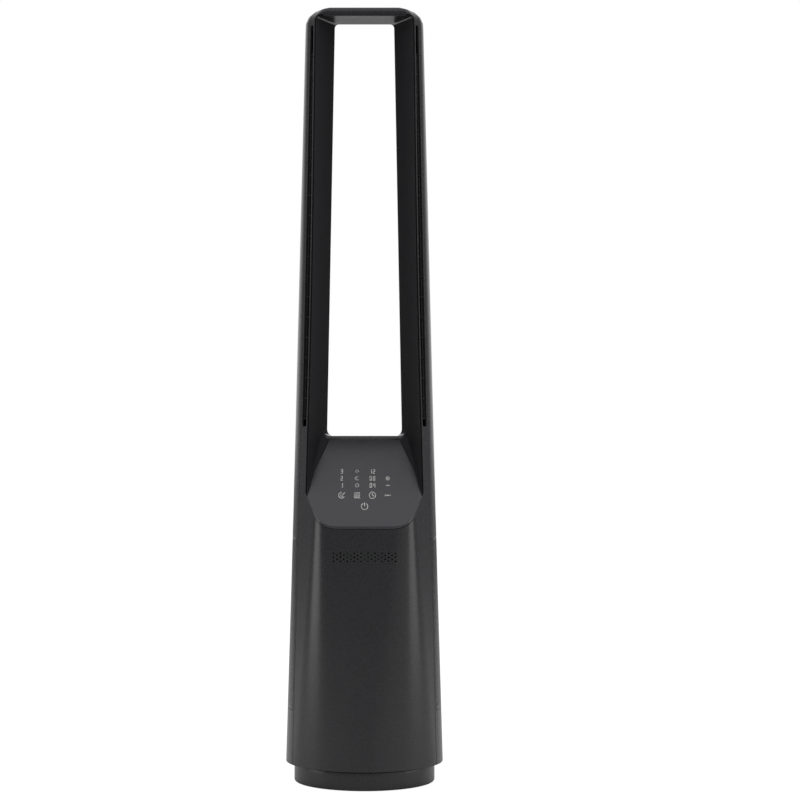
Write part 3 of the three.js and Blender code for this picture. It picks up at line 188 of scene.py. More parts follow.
def girth_point(z, u):
    """X and Y on the section, an arc length u round from the middle of the front."""
    s, u = section(z), wrapped(z, u)
    side, u = copysign(1, u), abs(u)
    x, y = s.flat, -s.front
    if u <= x:
        return side * u, y
    u -= x
    for radius, start, end in front_arcs(s):
        turn = min(u / radius, end - start)
        x += radius * (sin(start + turn) - sin(start))
        y += radius * (cos(start) - cos(start + turn))
        u -= radius * (end - start)
        if u <= 0:
            return side * x, y
    run = min(u, s.facet)
    x, y = x + run * cos(FACET_ANGLE), y + run * sin(FACET_ANGLE)
    u -= s.facet
    if u <= 0:
        return side * x, y
    turn = FACET_ANGLE + min(u / s.side_radius, QUARTER - FACET_ANGLE)
    x += s.side_radius * (sin(turn) - sin(FACET_ANGLE))
    y += s.side_radius * (cos(FACET_ANGLE) - cos(turn))
    u -= s.side_radius * (QUARTER - FACET_ANGLE)
    if u <= 0:
        return side * x, y
    turn = np.interp(u, s.rear_arc, REAR_TURNS)
    return side * s.half * cos(turn), s.widest + (s.rear - s.widest) * sin(turn)


def squeeze(z, x, y, ease):
    """Draws a section in for the rounded top; ease runs from 0 below to 1 on the top face."""
    s = section(z)
    middle, deep = (s.rear - s.front) / 2, (s.rear + s.front) / 2
    return (x * (1 - TOP_CORNER * ease / s.half),
            middle + (y - middle) * (1 - TOP_EDGE * ease ** 2 / deep))


def across_top(z, u):
    """Place on the flat top's seam that lies across from an arc length round its edge."""
    s = section(z)
    x, y = squeeze(z, s.seam_x, s.seam_y, 1)
    past = abs(u) - s.to_seam
    share = 1 - past / (s.to_rear - s.to_seam) if past > 0 else abs(u) / s.to_seam
    return x * copysign(share, u), y


def skin(u, v):
    """Point of the outer skin: u round from the front, v up the side and on over the top."""
    if v <= ROUND_FROM:
        return np.array((*girth_point(v, u), v))
    turn = min(v - ROUND_FROM, ROUND_END - ROUND_FROM) / TOP_CORNER
    z = ROUND_FROM + TOP_CORNER * sin(turn)
    place = squeeze(z, *girth_point(z, u), 1 - cos(turn))
    if v > ROUND_END:
        goal = across_top(z, wrapped(z, u))
        length = dist(place, goal)
        t = 0 if length < 1e-9 else (v - ROUND_END) / length
        place = [mix(a, b, t) for a, b in zip(place, goal)]
    return np.array((*place, z))


def skin_normal(u, v):
    """Outward normal of the skin."""
    step = 0.05
    along = skin(u + step, v) - skin(u - step, v)
    up = skin(u, min(v + step, ROUND_END)) - skin(u, min(v, ROUND_END) - step)
    normal = np.cross(along, up)
    length = np.linalg.norm(normal)
    return normal / length if length > 1e-12 and v < ROUND_END else np.array((0.0, 0.0, 1.0))


def v_at(z):
    """Length up the skin of a height."""
    past = z - ROUND_FROM
    return z if past <= 0 else ROUND_FROM + TOP_CORNER * asin(min(1, past / TOP_CORNER))


def height_at(v):
    """Height of a point v along the skin."""
    if v <= ROUND_FROM:
        return v
    return ROUND_FROM + TOP_CORNER * sin(min(v, ROUND_END) / TOP_CORNER - ROUND_FROM / TOP_CORNER)


def unsqueezed(z, x):
    """A distance from the middle before the rounded top drew it in."""
    ease = 1 - cos(max(0, v_at(z) - ROUND_FROM) / TOP_CORNER)
    return abs(x) / (1 - TOP_CORNER * ease / section(z).half)


def front_u(z, x):
    """Arc length from the middle at which the front surface is at a distance from the middle."""
    s, goal = section(z), unsqueezed(z, x)
    reach = u = s.flat
    if goal <= reach:
        return copysign(goal, x)
    for radius, start, end in front_arcs(s):
        after = reach + radius * (sin(end) - sin(start))
        if goal <= after:
            turn = asin((goal - reach) / radius + sin(start))
            return copysign(u + radius * (turn - start), x)
        reach, u = after, u + radius * (end - start)
    if goal <= s.seam_x:
        return copysign(u + (goal - reach) / cos(FACET_ANGLE), x)
    turn = asin(min(1, (goal - s.seam_x) / s.side_radius + sin(FACET_ANGLE)))
    return copysign(s.to_seam + s.side_radius * (turn - FACET_ANGLE), x)


def front_y(z, x):
    """Y of the front surface at a height and a distance from the middle."""
    return skin(front_u(z, x), v_at(z))[1]


def rear_w(z, x):
    """Arc length from the rear middle at which the rear surface is at a distance from the middle."""
    s = section(z)
    turn = acos(min(1, unsqueezed(z, x) / s.half))
    return copysign(s.rear_arc[-1] - np.interp(turn, REAR_TURNS, s.rear_arc), x)


def rear_surface_y(z, x):
    """Y of the rear skin, with the rounded top taken into account."""
    return skin(section(z).to_rear - abs(rear_w(z, x)), v_at(z))[1]


def rear_y(z, x):
    """Y of the rear skin as if the body had no rounded top."""
    s = section(z)
    return s.widest + (s.rear - s.widest) * sqrt(max(0, 1 - (x / s.half) ** 2))


def rear_skin(w, v):
    """The skin again, with w measured round from the middle of the rear."""
    return skin(section(height_at(v)).to_rear + w, v)


def rear_normal(w, v):
    return skin_normal(section(height_at(v)).to_rear + w, v)


# ---------------------------------------------------------------- opening of the loop
def rear_half(z):
    """Half width of the opening where it comes out of the rear."""
    return OPENING_TOP_HALF + OPENING_GROWTH * (OPENING_TOP - z)


def opening_rear(z):
    """Y at which the opening comes out of the rear."""
    return rear_y(z, rear_half(z))


def flare(z):
    """How much wider the opening gets for each millimetre towards the front."""
    down = clamp((OPENING_TOP - z) / (OPENING_TOP - FLARE_FOOT_Z), 0, 1)
    return tan(mix(FLARE_FOOT, FLARE_TOP, (1 - down) ** 2))


def opening_half(y, z):
    """Half width of the opening at a depth and a height."""
    return rear_half(z) + flare(z) * (opening_rear(z) - y)


def rear_edge(z):
    """Radius of the rounded rear edge."""
    return mix(REAR_EDGE_TOP, REAR_EDGE_FOOT, clamp((OPENING_TOP - z) / (OPENING_TOP - RIDGE_Z), 0, 1))


def foot_corner(y):
    """Radius between the floor and a wall: it fades out towards the front."""
    t = clamp((y - CORNER_FADE_FRONT) / (RIDGE_Y - CORNER_FADE_FRONT), 0, 1)
    return mix(CORNER_FRONT, CORNER_FOOT, t * t * (3 - 2 * t))


def floor_z(y):
    """Floor of the opening: the panel's slope, a soft ridge, then the shelf behind it."""
    past = y - RIDGE_Y
    if abs(past) < RIDGE_SOFT:
        t = (past / RIDGE_SOFT + 1) / 2
        return RIDGE_Z - RIDGE_SOFT * ((1 - t) ** 2 * tan(SLOPE) + t ** 2 * SHELF_FALL)
    return RIDGE_Z + past * (tan(SLOPE) if past < 0 else -SHELF_FALL)


def outline_point(station, low, high, low_corner, high_corner, width):
    """X and Z on an outline with rounded corners; a station is a stretch of it and a share."""
    stretch, t = station
    turn = t * QUARTER
    if stretch == "floor":
        return t * (width(low) - low_corner), low
    if stretch == "low_corner":
        z = low + low_corner * (1 - cos(turn))
        return width(z) - low_corner * (1 - sin(turn)), z
    if stretch == "wall":
        z = mix(low + low_corner, high - high_corner, t)
        return width(z), z
    if stretch == "high_corner":
        z = high - high_corner * (1 - sin(turn))
        return width(z) - high_corner * (1 - cos(turn)), z
    return (1 - t) * (width(high) - high_corner), high


def opening_point(station, y, wall=0.0, drop=0.0):
    """X and Z on the opening's wall, or a thickness behind the wall and under the floor."""
    def width(z):
        return opening_half(y, z) + wall / cos(atan(flare(z)))
    return outline_point(station, floor_z(y) - drop / cos(SLOPE), OPENING_TOP + wall,
                         foot_corner(y) + wall, CORNER_TOP + wall, width)


def rim_point(station, turn, wall=0.0, drop=0.0):
    """X, Y and Z where the inner wall rounds out to the rear, a turn of up to a quarter."""
    shelf = opening_rear(RIDGE_Z) - rear_edge(RIDGE_Z)
    roll = RIM_ROLL * (1 - cos(turn))

    def width(z):
        e = rear_edge(z)
        return opening_half(opening_rear(z) - e, z) + e - max(0, e - wall) * cos(turn)
    x, z = outline_point(station, floor_z(shelf) - drop / cos(SLOPE) - roll,
                         OPENING_TOP + wall + roll, foot_corner(shelf) + wall, CORNER_TOP + wall, width)
    e = rear_edge(z)
    y = opening_rear(z) - e + max(0, e - wall) * sin(turn)
    return x, min(y, rear_surface_y(z, x)), z


def front_trim(station, wall=0.0, drop=0.0, inset=0.0):
    """Y at which a station's line comes out of the front of the body."""
    def ahead(y):
        x, z = opening_point(station, y, wall, drop)
        return y < front_y(z, x) + inset
    return last_holding(ahead, -115.0, 20.0)


def opening_stations():
    """Stations round the right half of the opening, from the middle of its top to its foot."""
    corner = [1 - i / 6 for i in range(7)]
    stretches = {
        "top": (0.96, 0.85, 0.7, 0.55, 0.4, 0.25, 0.1), "high_corner": corner,
        "wall": [1 - i / 60 for i in range(1, 60)], "low_corner": corner,
        "floor": (0.92, 0.84, 0.76, 0.68, 0.6, 0.5, 0.4, 0.3, 0.2, 0.1, 0.02)}
    return [(stretch, t) for stretch, shares in stretches.items() for t in shares]


# ---------------------------------------------------------------- meshes
def finished(name, vertices, faces, normals=None, merge=0.0, sharp=None, recalc=True):
    """A piece's object, from places in millimetres; edges over a sharp angle are kept crisp."""
    mesh = bpy.data.meshes.new(name)
    mesh.from_pydata([tuple(c * MM for c in p) for p in vertices], [], faces)
    if merge:
        shape = bmesh.new()
        shape.from_mesh(mesh)
        bmesh.ops.remove_doubles(shape, verts=shape.verts, dist=merge * MM)
        if recalc:
            bmesh.ops.recalc_face_normals(shape, faces=shape.faces)
        shape.to_mesh(mesh)
        shape.free()
    mesh.polygons.foreach_set("use_smooth", [True] * len(mesh.polygons))
    if normals is not None:
        mesh.normals_split_custom_set_from_vertices([tuple(n) for n in normals])
    if sharp:
        mesh.set_sharp_from_angle(angle=radians(sharp))
    mesh.update()
    obj = bpy.data.objects.new(name, mesh)
    bpy.context.collection.objects.link(obj)
    return obj


def unit(rows):
    """Rows of a table, each made one long."""
    return rows / (np.linalg.norm(rows, axis=1, keepdims=True) + 1e-12)


def inwards(loop):
    """Steps from each point of a loop towards its left, where the material is."""
    points = np.array(loop)
    ahead, behind = unit(np.roll(points, -1, 0) - points), unit(points - np.roll(points, 1, 0))
    sides = unit(np.stack([-(ahead + behind)[:, 1], (ahead + behind)[:, 0]], 1))
    cosine = np.clip((sides * np.stack([-ahead[:, 1], ahead[:, 0]], 1)).sum(1), 0.5, 1)
    return sides / cosine[:, None]


def inside(loop, points):
    """Which of the points lie inside a closed loop."""
    result = np.zeros(len(points), bool)
    for (x0, y0), (x1, y1) in zip(loop, np.roll(loop, -1, 0)):
        crosses = (y0 > points[:, 1]) != (y1 > points[:, 1])
        at = (x1 - x0) * (points[:, 1] - y0) / (y1 - y0 + 1e-15) + x0
        result ^= crosses & (points[:, 0] < at)
    return result


def in_material(rims, points):
    """Which of the points lie inside the first loop and outside the others."""
    keep = inside(rims[0], points)
    for rim in rims[1:]:
        keep &= ~inside(rim, points)
    return keep


def near_loops(points, loops, distance):
    """Which of the points lie within a distance of the loops' corners."""
    cells = {}
    for corner in np.concatenate(loops):
        cells.setdefault(tuple((corner // distance).astype(int)), []).append(corner)
    close = np.zeros(len(points), bool)
    for i, (x, y) in enumerate(points):
        cx, cy = int(x // distance), int(y // distance)
        around = [cells.get((cx + a, cy + b), ()) for a in (-1, 0, 1) for b in (-1, 0, 1)]
        close[i] = any(dist((x, y), corner) < distance for cell in around for corner in cell)
    return close


def band(first, second):
    """Quads from one loop down to the next; material is on the loops' left."""
    size = len(first)
    return [(first[k], second[k], second[(k + 1) % size], first[(k + 1) % size]) for k in range(size)]


def mirrored_loop(half_loop):
    """A whole loop from its right half, which starts and ends near the middle."""
    return half_loop + [(-u, v) for u, v in reversed(half_loop)]


def flat_triangles(outline, rims, grid):
    """Points and triangles that fill the rims, and where each of the rims' corners is among them."""
    low, high = np.min(outline, 0), np.max(outline, 0)
    across = np.arange(low[0] + grid[0] / 2, high[0], grid[0])
    up = np.arange(low[1] + grid[1] / 2, high[1], grid[1])
    middle = np.array([(x, y) for y in up for x in across])
    middle = middle[in_material(rims, middle)]
    middle = middle[~near_loops(middle, rims, 0.45 * min(grid))]
    edges = []
    for rim in rims:
        first = len(edges)
        edges += [(first + k, first + (k + 1) % len(rim)) for k in range(len(rim))]
    squash = grid[0] / grid[1]
    corners = [Vector((x, y * squash)) for x, y in np.concatenate([*rims, middle])]
    places, _, triangles, origins, *_ = delaunay_2d_cdt(corners, edges, [], 1, 1e-6, True)
    flat = np.array([(p.x, p.y / squash) for p in places])
    origin = [ids[0] if ids else -1 for ids in origins]
    keep = in_material(rims, np.array([flat[list(face)].mean(0) for face in triangles]))
    wrong_way = {(b, a) for a, b in edges}
    kept = [tuple(face) for face, wanted in zip(triangles, keep) if wanted and not any(
        (origin[a], origin[b]) in wrong_way for a, b in zip(face, (*face[1:], face[0])))]
    return flat, kept, {o: k for k, o in enumerate(origin) if o >= 0}


def sheet_piece(onto, outline, holes=(), open_holes=(), thickness=WALL, edge=0.5, grid=(4, 8),
                undercut=()):
    """A moulded wall: flat outline and holes laid onto a skin, rounded edges, and an inner face.

    The outline runs anticlockwise and the holes clockwise, so material is on their left. Open
    holes get no edge: something else is joined there. Undercut holds, by a loop's number, how
    far its inner edge stands back.
    """
    place, normal_of = onto
    loops = [outline, *holes]
    rims = [np.array(loop) + inwards(loop) * edge for loop in loops] + [np.array(loop) for loop in open_holes]
    flat, triangles, at_origin = flat_triangles(outline, rims, grid)
    vertices, normals, faces = [], [], []

    def put(point, depth, side=None, turn=0.0):
        normal, here = normal_of(*point), place(*point)
        vertices.append(here - depth * normal)
        if side is not None:
            ahead = place(*(np.array(point) + side * 0.05)) - here
            ahead /= np.linalg.norm(ahead) + 1e-12
            normal = normal * cos(turn) - ahead * sin(turn)
        normals.append(normal)
        return len(vertices) - 1

    for point in flat:
        put(point, 0)
    below, first = {}, 0
    for i, loop in enumerate(loops):
        ids = last = [at_origin[first + k] for k in range(len(loop))]
        first += len(loop)
        corners = list(zip(map(np.array, loop), inwards(loop)))
        for turn in (pi / 6, pi / 3, QUARTER):
            ring = [put(p + side * edge * (1 - sin(turn)), edge * (1 - cos(turn)), side, turn)
                    for p, side in corners]
            faces += band(last, ring)
            last = ring
        back = dict(undercut).get(i, 0)
        ring = [put(p + side * back, thickness, side, QUARTER) for p, side in corners]
        faces += band(last, ring)
        below.update(zip(ids, [put(p + side * back, thickness) for p, side in corners]))
    faces += triangles
    for k, p in enumerate(flat):
        if k not in below:
            below[k] = put(p, thickness)
        normals[below[k]] = -normals[below[k]]
    faces += [tuple(below[k] for k in reversed(face)) for face in triangles]
    return vertices, faces, normals


# ---------------------------------------------------------------- shells
def cap_length(u):
    """How far the flat top runs from its edge to the seam, at an arc length from the front."""
    z = BODY_HEIGHT
    return dist(squeeze(z, *girth_point(z, u), 1), across_top(z, u))


def lip_place(station, wall, drop):
    """Where a station comes out of the front, as u and v on the skin."""
    x, z = opening_point(station, front_trim(station, wall, drop), wall, drop)
    return front_u(z, x), v_at(z)


def facet_reach(z):
    """Distance along the facet from the seam to the lip of the opening."""
    s = section(z)
    return (s.seam_x - opening_half(s.seam_y, z)) / (cos(FACET_ANGLE) + flare(z) * sin(FACET_ANGLE))


def slot_outline(side):
    """Outlet slot on one leg, clockwise: down the seam side and up the lip side."""
    ends = [SLOT_END * (1 - cos(QUARTER * i / 6)) for i in range(7)]
    heights = [SLOT_FOOT_Z + e for e in ends] + steps(SLOT_FOOT_Z + SLOT_END, SLOT_TOP_Z - SLOT_END, 8)[1:-1]
    heights += [SLOT_TOP_Z - e for e in reversed(ends)]
    near, far = [], []
    for z in heights:
        reach = facet_reach(z) - SLOT_FROM_LIP
        part = 1 - min(z - SLOT_FOOT_Z, SLOT_TOP_Z - z, SLOT_END) / SLOT_END
        drawn = (1 - sqrt(max(0, 1 - part ** 2))) * SLOT_ROUNDING * (reach - SLOT_FROM_SEAM)
        near.append((side * (section(z).to_seam - SLOT_FROM_SEAM - drawn), z))
        far.append((side * (section(z).to_seam - reach + drawn), z))
    return near[::-1] + far if side > 0 else far[::-1] + near


def vent_holes():
    """Round holes of the front vent, in columns of three and two."""
    holes = []
    for column in range(VENT_COLUMNS):
        rows = 3 if column % 2 == 0 else 2
        x = (column - (VENT_COLUMNS - 1) / 2) * HOLE_PITCH * cos(pi / 6)
        for row in range(rows):
            z = VENT_Z + (row - (rows - 1) / 2) * HOLE_PITCH
            turns = [-2 * pi * k / 12 for k in range(12)]
            holes.append([(x + VENT_HOLE * cos(a), z + VENT_HOLE * sin(a)) for a in turns])
    return holes


def half_outline(edge_of, top_of):
    """Right half of a shell's outline: along the foot, up the seam and over the top."""
    foot, start = BODY_FOOT.z, 2.0
    heights = steps(foot, ROUND_FROM, 8)[1:] + steps(ROUND_FROM, ROUND_END, 2)[1:]
    return ([(u, foot) for u in steps(start, edge_of(foot), 4)]
            + [(edge_of(height_at(v)), v) for v in heights]
            + [(u, ROUND_END + top_of(u)) for u in steps(edge_of(BODY_HEIGHT), start, 3)[1:]])


def front_shell():
    """Front half of the body: vent holes, outlet slots and the opening cut through it."""
    half = half_outline(lambda z: section(z).to_seam - SEAM_GAP / 2,
                        lambda u: max(0.3, cap_length(u) - SEAM_GAP / 2))
    wall, drop = LINING_WALL + LIP_GAP, PANEL_THICKNESS + GAP
    opening = mirrored_loop([lip_place(s, wall, drop) for s in opening_stations()])
    holes = [opening, slot_outline(1), slot_outline(-1), *vent_holes()]
    return finished("front_shell_moulding", *sheet_piece(
        (skin, skin_normal), mirrored_loop(half), holes, undercut={1: SLOT_UNDERCUT}))


def rear_shell():
    """Rear half of the body: the opening and the intake's window cut through it."""
    def edge(z):
        return section(z).to_rear - section(z).to_seam - SEAM_GAP / 2

    def over(w):
        return max(0.3, cap_length(section(BODY_HEIGHT).to_rear - w) - SEAM_GAP / 2)
    opening = []
    for station in opening_stations():
        x, _, z = rim_point(station, QUARTER, GAP, GAP)
        opening.append((rear_w(z, x) + GAP, v_at(z)))
    holes = [mirrored_loop(opening), intake_window(0)[::-1]]
    return finished("rear_shell_moulding", *sheet_piece(
        (rear_skin, rear_normal), mirrored_loop(half_outline(edge, over)), holes, undercut={1: 0.5}))


def intake_side(z, inset):
    """Arc length from the rear middle to the side of the intake's window."""
    s = section(z)
    return s.to_rear - s.to_seam - (INTAKE_FROM_SEAM + inset) / sin(FACET_ANGLE)


def intake_window(inset):
    """Window of the intake, anticlockwise and drawn in by an inset."""
    low, high = INTAKE_FOOT_Z + inset, INTAKE_TOP_Z - inset
    return mirrored_loop(
        [(w, low) for w in steps(2, intake_side(low, inset), 4)]
        + [(intake_side(z, inset), z) for z in steps(low, high, 8)[1:]]
        + [(w, high) for w in steps(intake_side(high, inset), 2, 4)[1:]])


# ---------------------------------------------------------------- loop lining and panel
def lining_profile(station):
    """Closed section through the lining: lip, inner wall, rounded rear, and its outer side."""
    sunk = station[0] == "floor"
    depth = PANEL_THICKNESS + GAP if sunk else 0
    inset = 1.2 * WALL if sunk else 0
    outer_drop = PANEL_THICKNESS + GAP + LINING_WALL if sunk else PANEL_THICKNESS
    points = []

    def put(y, wall, drop):
        x, z = opening_point(station, y, wall, drop)
        points.append((x, y, z))
    for wall, back in LIP_ROUNDING:
        drop = mix(depth, outer_drop, wall / LINING_WALL)
        wall, back = (0, 0) if sunk else (wall, back)
        put(front_trim(station, wall, drop, inset) + back, wall, drop)
    points.reverse()
    front = points[-1][1]
    pocket, ridge = RIDGE_Y - PANEL_MARGIN - GAP / 3, RIDGE_Y + RIDGE_SOFT
    for i in range(1, 9):
        put(mix(front, pocket, i / 8), 0, depth)
    for i in range(9):
        put(mix(pocket, ridge, i / 8), 0, 0)
    rim = rim_point(station, 0)[1]
    for i in range(1, 5):
        put(mix(ridge, rim, i / 5), 0, 0)
    points += [rim_point(station, QUARTER * i / 6) for i in range(7)]
    x, y, z = rim_point(station, QUARTER)
    points.append((x, y - LINING_WALL, z))
    for i in range(5, -1, -1):
        put(mix(front + 1.5, y - 2 * LINING_WALL, i / 5), 0 if sunk else LINING_WALL, outer_drop)
    return points


def loop_lining():
    """Inner walls, floor and top of the loop as one ring."""
    half = opening_stations()
    half.insert(half.index(("floor", 0.92)), ("floor", 1.0))
    right = [lining_profile(station) for station in half]
    rings = right + [[(-x, y, z) for x, y, z in ring] for ring in reversed(right)]
    size = len(rings[0])
    rows = [range(i * size, (i + 1) * size) for i in range(len(rings))]
    faces = [face for row, after in zip(rows, rows[1:] + rows[:1]) for face in band(row, after)]
    return finished("loop_lining_moulding", [p for ring in rings for p in ring], faces, merge=0.01, sharp=32)


def on_slope(x, along, out=0.0):
    """A place on the panel: x across, a distance up the slope and a height out of it."""
    c, s = cos(SLOPE), sin(SLOPE)
    return x, PANEL_FRONT_Y + along * c - out * s, PANEL_FRONT_Z + along * s + out * c


def panel_loop(depth, inset):
    """Outline of the panel at a depth under its face: front edge on the skin, then up the sides."""
    def half(along):
        y = PANEL_FRONT_Y + along * cos(SLOPE)
        return opening_half(y, floor_z(min(y, RIDGE_Y - RIDGE_SOFT))) - foot_corner(y) - GAP - inset

    def front(x_of):
        def ahead(along):
            x, y, z = on_slope(x_of(along), along, -depth)
            return y < front_y(z, x)
        return last_holding(ahead, -25.0, 90.0) + inset
    corner = front(half)
    rear = (RIDGE_Y - PANEL_MARGIN - GAP - PANEL_FRONT_Y) / cos(SLOPE) - inset
    across = [half(corner) * sin(QUARTER * (i + 0.2) / 12.2) for i in range(13)]
    right = [(x, front(lambda _: x)) for x in across]
    right += [(half(along), along) for along in steps(corner, rear, 5)[1:]]
    right += [(half(rear) * (1 - t), rear) for t in (0.3, 0.6, 0.9)]
    return [on_slope(x, along, -depth) for x, along in mirrored_loop(right)]


def control_panel():
    """Touch panel: a plate on the slope with a fine rounded edge."""
    loops = [panel_loop(depth, inset) for depth, inset in PANEL_EDGE]
    size = len(loops[0])
    top = (len(loops) - 1) * size
    faces = [(a + k, a + (k + 1) % size, a + size + (k + 1) % size, a + size + k)
             for a in range(0, top, size) for k in range(size)]
    for k in range(size // 2 - 1):
        left, next_left = size - 1 - k, size - 2 - k
        faces.append((top + k, top + k + 1, top + next_left, top + left))
        faces.append((left, next_left, k + 1, k))
    return finished("control_panel_plate", [p for loop in loops for p in loop], faces, sharp=40)


# ---------------------------------------------------------------- repeats, by Geometry Nodes
def new_tree(name, sizes):
    """An empty Geometry Nodes tree with points in, a mesh out and a named input for each size."""
    tree = bpy.data.node_groups.new(name, "GeometryNodeTree")
    tree.interface.new_socket("Points", in_out="INPUT", socket_type="NodeSocketGeometry")
    for size in sizes:
        tree.interface.new_socket(size, in_out="INPUT", socket_type="NodeSocketFloat")
    tree.interface.new_socket("Mesh", in_out="OUTPUT", socket_type="NodeSocketGeometry")
    return tree, node(tree, "NodeGroupInput").outputs


def close_tree(tree, points, instance, turn, material):
    """Puts the instance on every point, makes it real mesh and gives it its material."""
    placed = node(tree, "GeometryNodeInstanceOnPoints", {
        "Points": points, "Instance": instance, "Rotation": turn})
    real = node(tree, "GeometryNodeRealizeInstances", {"Geometry": placed})
    coated = node(tree, "GeometryNodeSetMaterial", {"Geometry": real, "Material": material})
    node(tree, "NodeGroupOutput", {"Mesh": coated})


def grown(tree, points, sizes):
    """Vertices and faces that a tree makes on points, all in millimetres."""
    seed = finished("seed", [(x / MM, y / MM, z / MM) for x, y, z in points], [])
    modifier = seed.modifiers.new("repeat", "NODES")
    modifier.node_group = tree
    for item in tree.interface.items_tree:
        if item.in_out == "INPUT" and item.name in sizes:
            modifier[item.identifier] = float(sizes[item.name])
    mesh = bpy.data.meshes.new_from_object(seed.evaluated_get(bpy.context.evaluated_depsgraph_get()))
    vertices = np.empty(len(mesh.vertices) * 3)
    mesh.vertices.foreach_get("co", vertices)
    faces = [tuple(face.vertices) for face in mesh.polygons]
    seed.modifiers.clear()
    bpy.data.objects.remove(seed)
    bpy.data.meshes.remove(mesh)
    return vertices.reshape(-1, 3), faces


def perforation_tree(material):
    """Six-sided cell of a perforated wall: outer face, inner face and the hole between them."""
    tree, size = new_tree("perforation", ("Cell radius", "Hole radius", "Wall"))
    depth = node(tree, "ShaderNodeMath", {0: size["Wall"], 1: -1.0}, operation="MULTIPLY")
    down = node(tree, "ShaderNodeCombineXYZ", {"Z": depth})
    face, tube = (node(tree, "GeometryNodeMeshCone", {
        "Vertices": 6, "Radius Top": size["Hole radius"], "Radius Bottom": size[foot], "Depth": height},
        fill_type="NONE") for foot, height in (("Cell radius", 0.0), ("Hole radius", size["Wall"])))
    cell, parts = node(tree, "GeometryNodeJoinGeometry"), [face]
    for part in (face, tube):
        turned = node(tree, "GeometryNodeFlipFaces", {"Mesh": part})
        parts.append(node(tree, "GeometryNodeTransform", {
            "Geometry": turned, "Translation": down}))
    for part in parts:
        tree.links.new(part.outputs[0], cell.inputs[0])
    close_tree(tree, size["Points"], cell, (0, 0, 0), material)
    return tree


def field_edge(cells, radius):
    """The jagged outline round a field of six-sided cells, anticlockwise."""
    edges, turns = {}, [k * pi / 3 for k in range(6)]
    for x, y in cells:
        corners = [(round(x + radius * cos(a), 3), round(y + radius * sin(a), 3)) for a in turns]
        keys = [(round(cx * 5), round(cy * 5)) for cx, cy in corners]
        for k in range(6):
            a, b = keys[k], keys[(k + 1) % 6]
            if (b, a) in edges:
                del edges[b, a]
            else:
                edges[a, b] = corners[k]
    follow = {a: (b, corner) for (a, b), corner in edges.items()}
    start = here = next(iter(follow))
    loop = []
    while not loop or here != start:
        here, corner = follow[here]
        loop.append(corner)
    return loop


def mapped(points):
    """Places of many points (w, v, height) on the rear skin, read off an even grid of it."""
    across = np.arange(-INTAKE_REACH, INTAKE_REACH + 1, MAP_ACROSS)
    up = np.arange(INTAKE_FOOT_Z - 4, INTAKE_TOP_Z + MAP_UP, MAP_UP)
    fx, fy = (points[:, 0] - across[0]) / MAP_ACROSS, (points[:, 1] - up[0]) / MAP_UP
    i, j = fx.astype(int), fy.astype(int)
    tx, ty = (fx - i)[:, None], (fy - j)[:, None]

    def read(value_of):
        table = np.array([[value_of(w, v) for w in across] for v in up])
        low = table[j, i] * (1 - tx) + table[j, i + 1] * tx
        high = table[j + 1, i] * (1 - tx) + table[j + 1, i + 1] * tx
        return low * (1 - ty) + high * ty
    return read(rear_skin) + read(rear_normal) * points[:, 2:3]


def intake_grille():
    """Perforated wall round the sides and back: fine round holes, close together."""
    radius = HOLE_PITCH / sqrt(3)
    clear = radius + INTAKE_MARGIN
    columns = int(INTAKE_REACH / (1.5 * radius))
    cells = []
    for i in range(-columns, columns + 1):
        for j in range(int((INTAKE_TOP_Z - INTAKE_FOOT_Z) / HOLE_PITCH) + 1):
            w, v = i * 1.5 * radius, INTAKE_FOOT_Z + (j + 0.5 * (i % 2) + 0.3) * HOLE_PITCH
            if (abs(w) < intake_side(v, GAP) - clear
                    and INTAKE_FOOT_Z + GAP + clear < v < INTAKE_TOP_Z - GAP - clear):
                cells.append((w, v))
    flat, faces = grown(perforation_tree(finishes["dark_shell"]), [(x, y, 0.0) for x, y in cells],
                        {"Cell radius": radius, "Hole radius": INTAKE_HOLE, "Wall": GRILLE_WALL})
    margin, margin_faces, _ = sheet_piece(
        (rear_skin, rear_normal), intake_window(GAP), open_holes=[field_edge(cells, radius)[::-1]],
        thickness=GRILLE_WALL, edge=0.4, grid=(4, 4))
    faces += [tuple(len(flat) + k for k in face) for face in margin_faces]
    return finished("intake_grille_moulding", [*mapped(flat), *margin], faces,
                    merge=0.06, sharp=35, recalc=False)


def rib_tree(material):
    """One rib of an outlet comb: a bar of oval section across the slot."""
    tree, size = new_tree("outlet_rib", ("Length", "Height", "Depth"))
    bar = node(tree, "GeometryNodeMeshCylinder", {"Vertices": 16, "Radius": 0.5, "Depth": size["Length"]},
               fill_type="NGON")
    oval = node(tree, "GeometryNodeTransform", {"Geometry": bar, "Scale": node(
        tree, "ShaderNodeCombineXYZ", {"X": size["Height"], "Y": size["Depth"], "Z": 1.0})})
    close_tree(tree, size["Points"], oval, (QUARTER, QUARTER, FACET_ANGLE + QUARTER), material)
    return tree


def facet_place(z, from_seam, depth):
    """Place on the right slotted facet: a distance from the seam, and a depth under it."""
    s, c, sn = section(z), cos(FACET_ANGLE), sin(FACET_ANGLE)
    return s.seam_x - from_seam * c - depth * sn, s.seam_y - from_seam * sn + depth * c, z


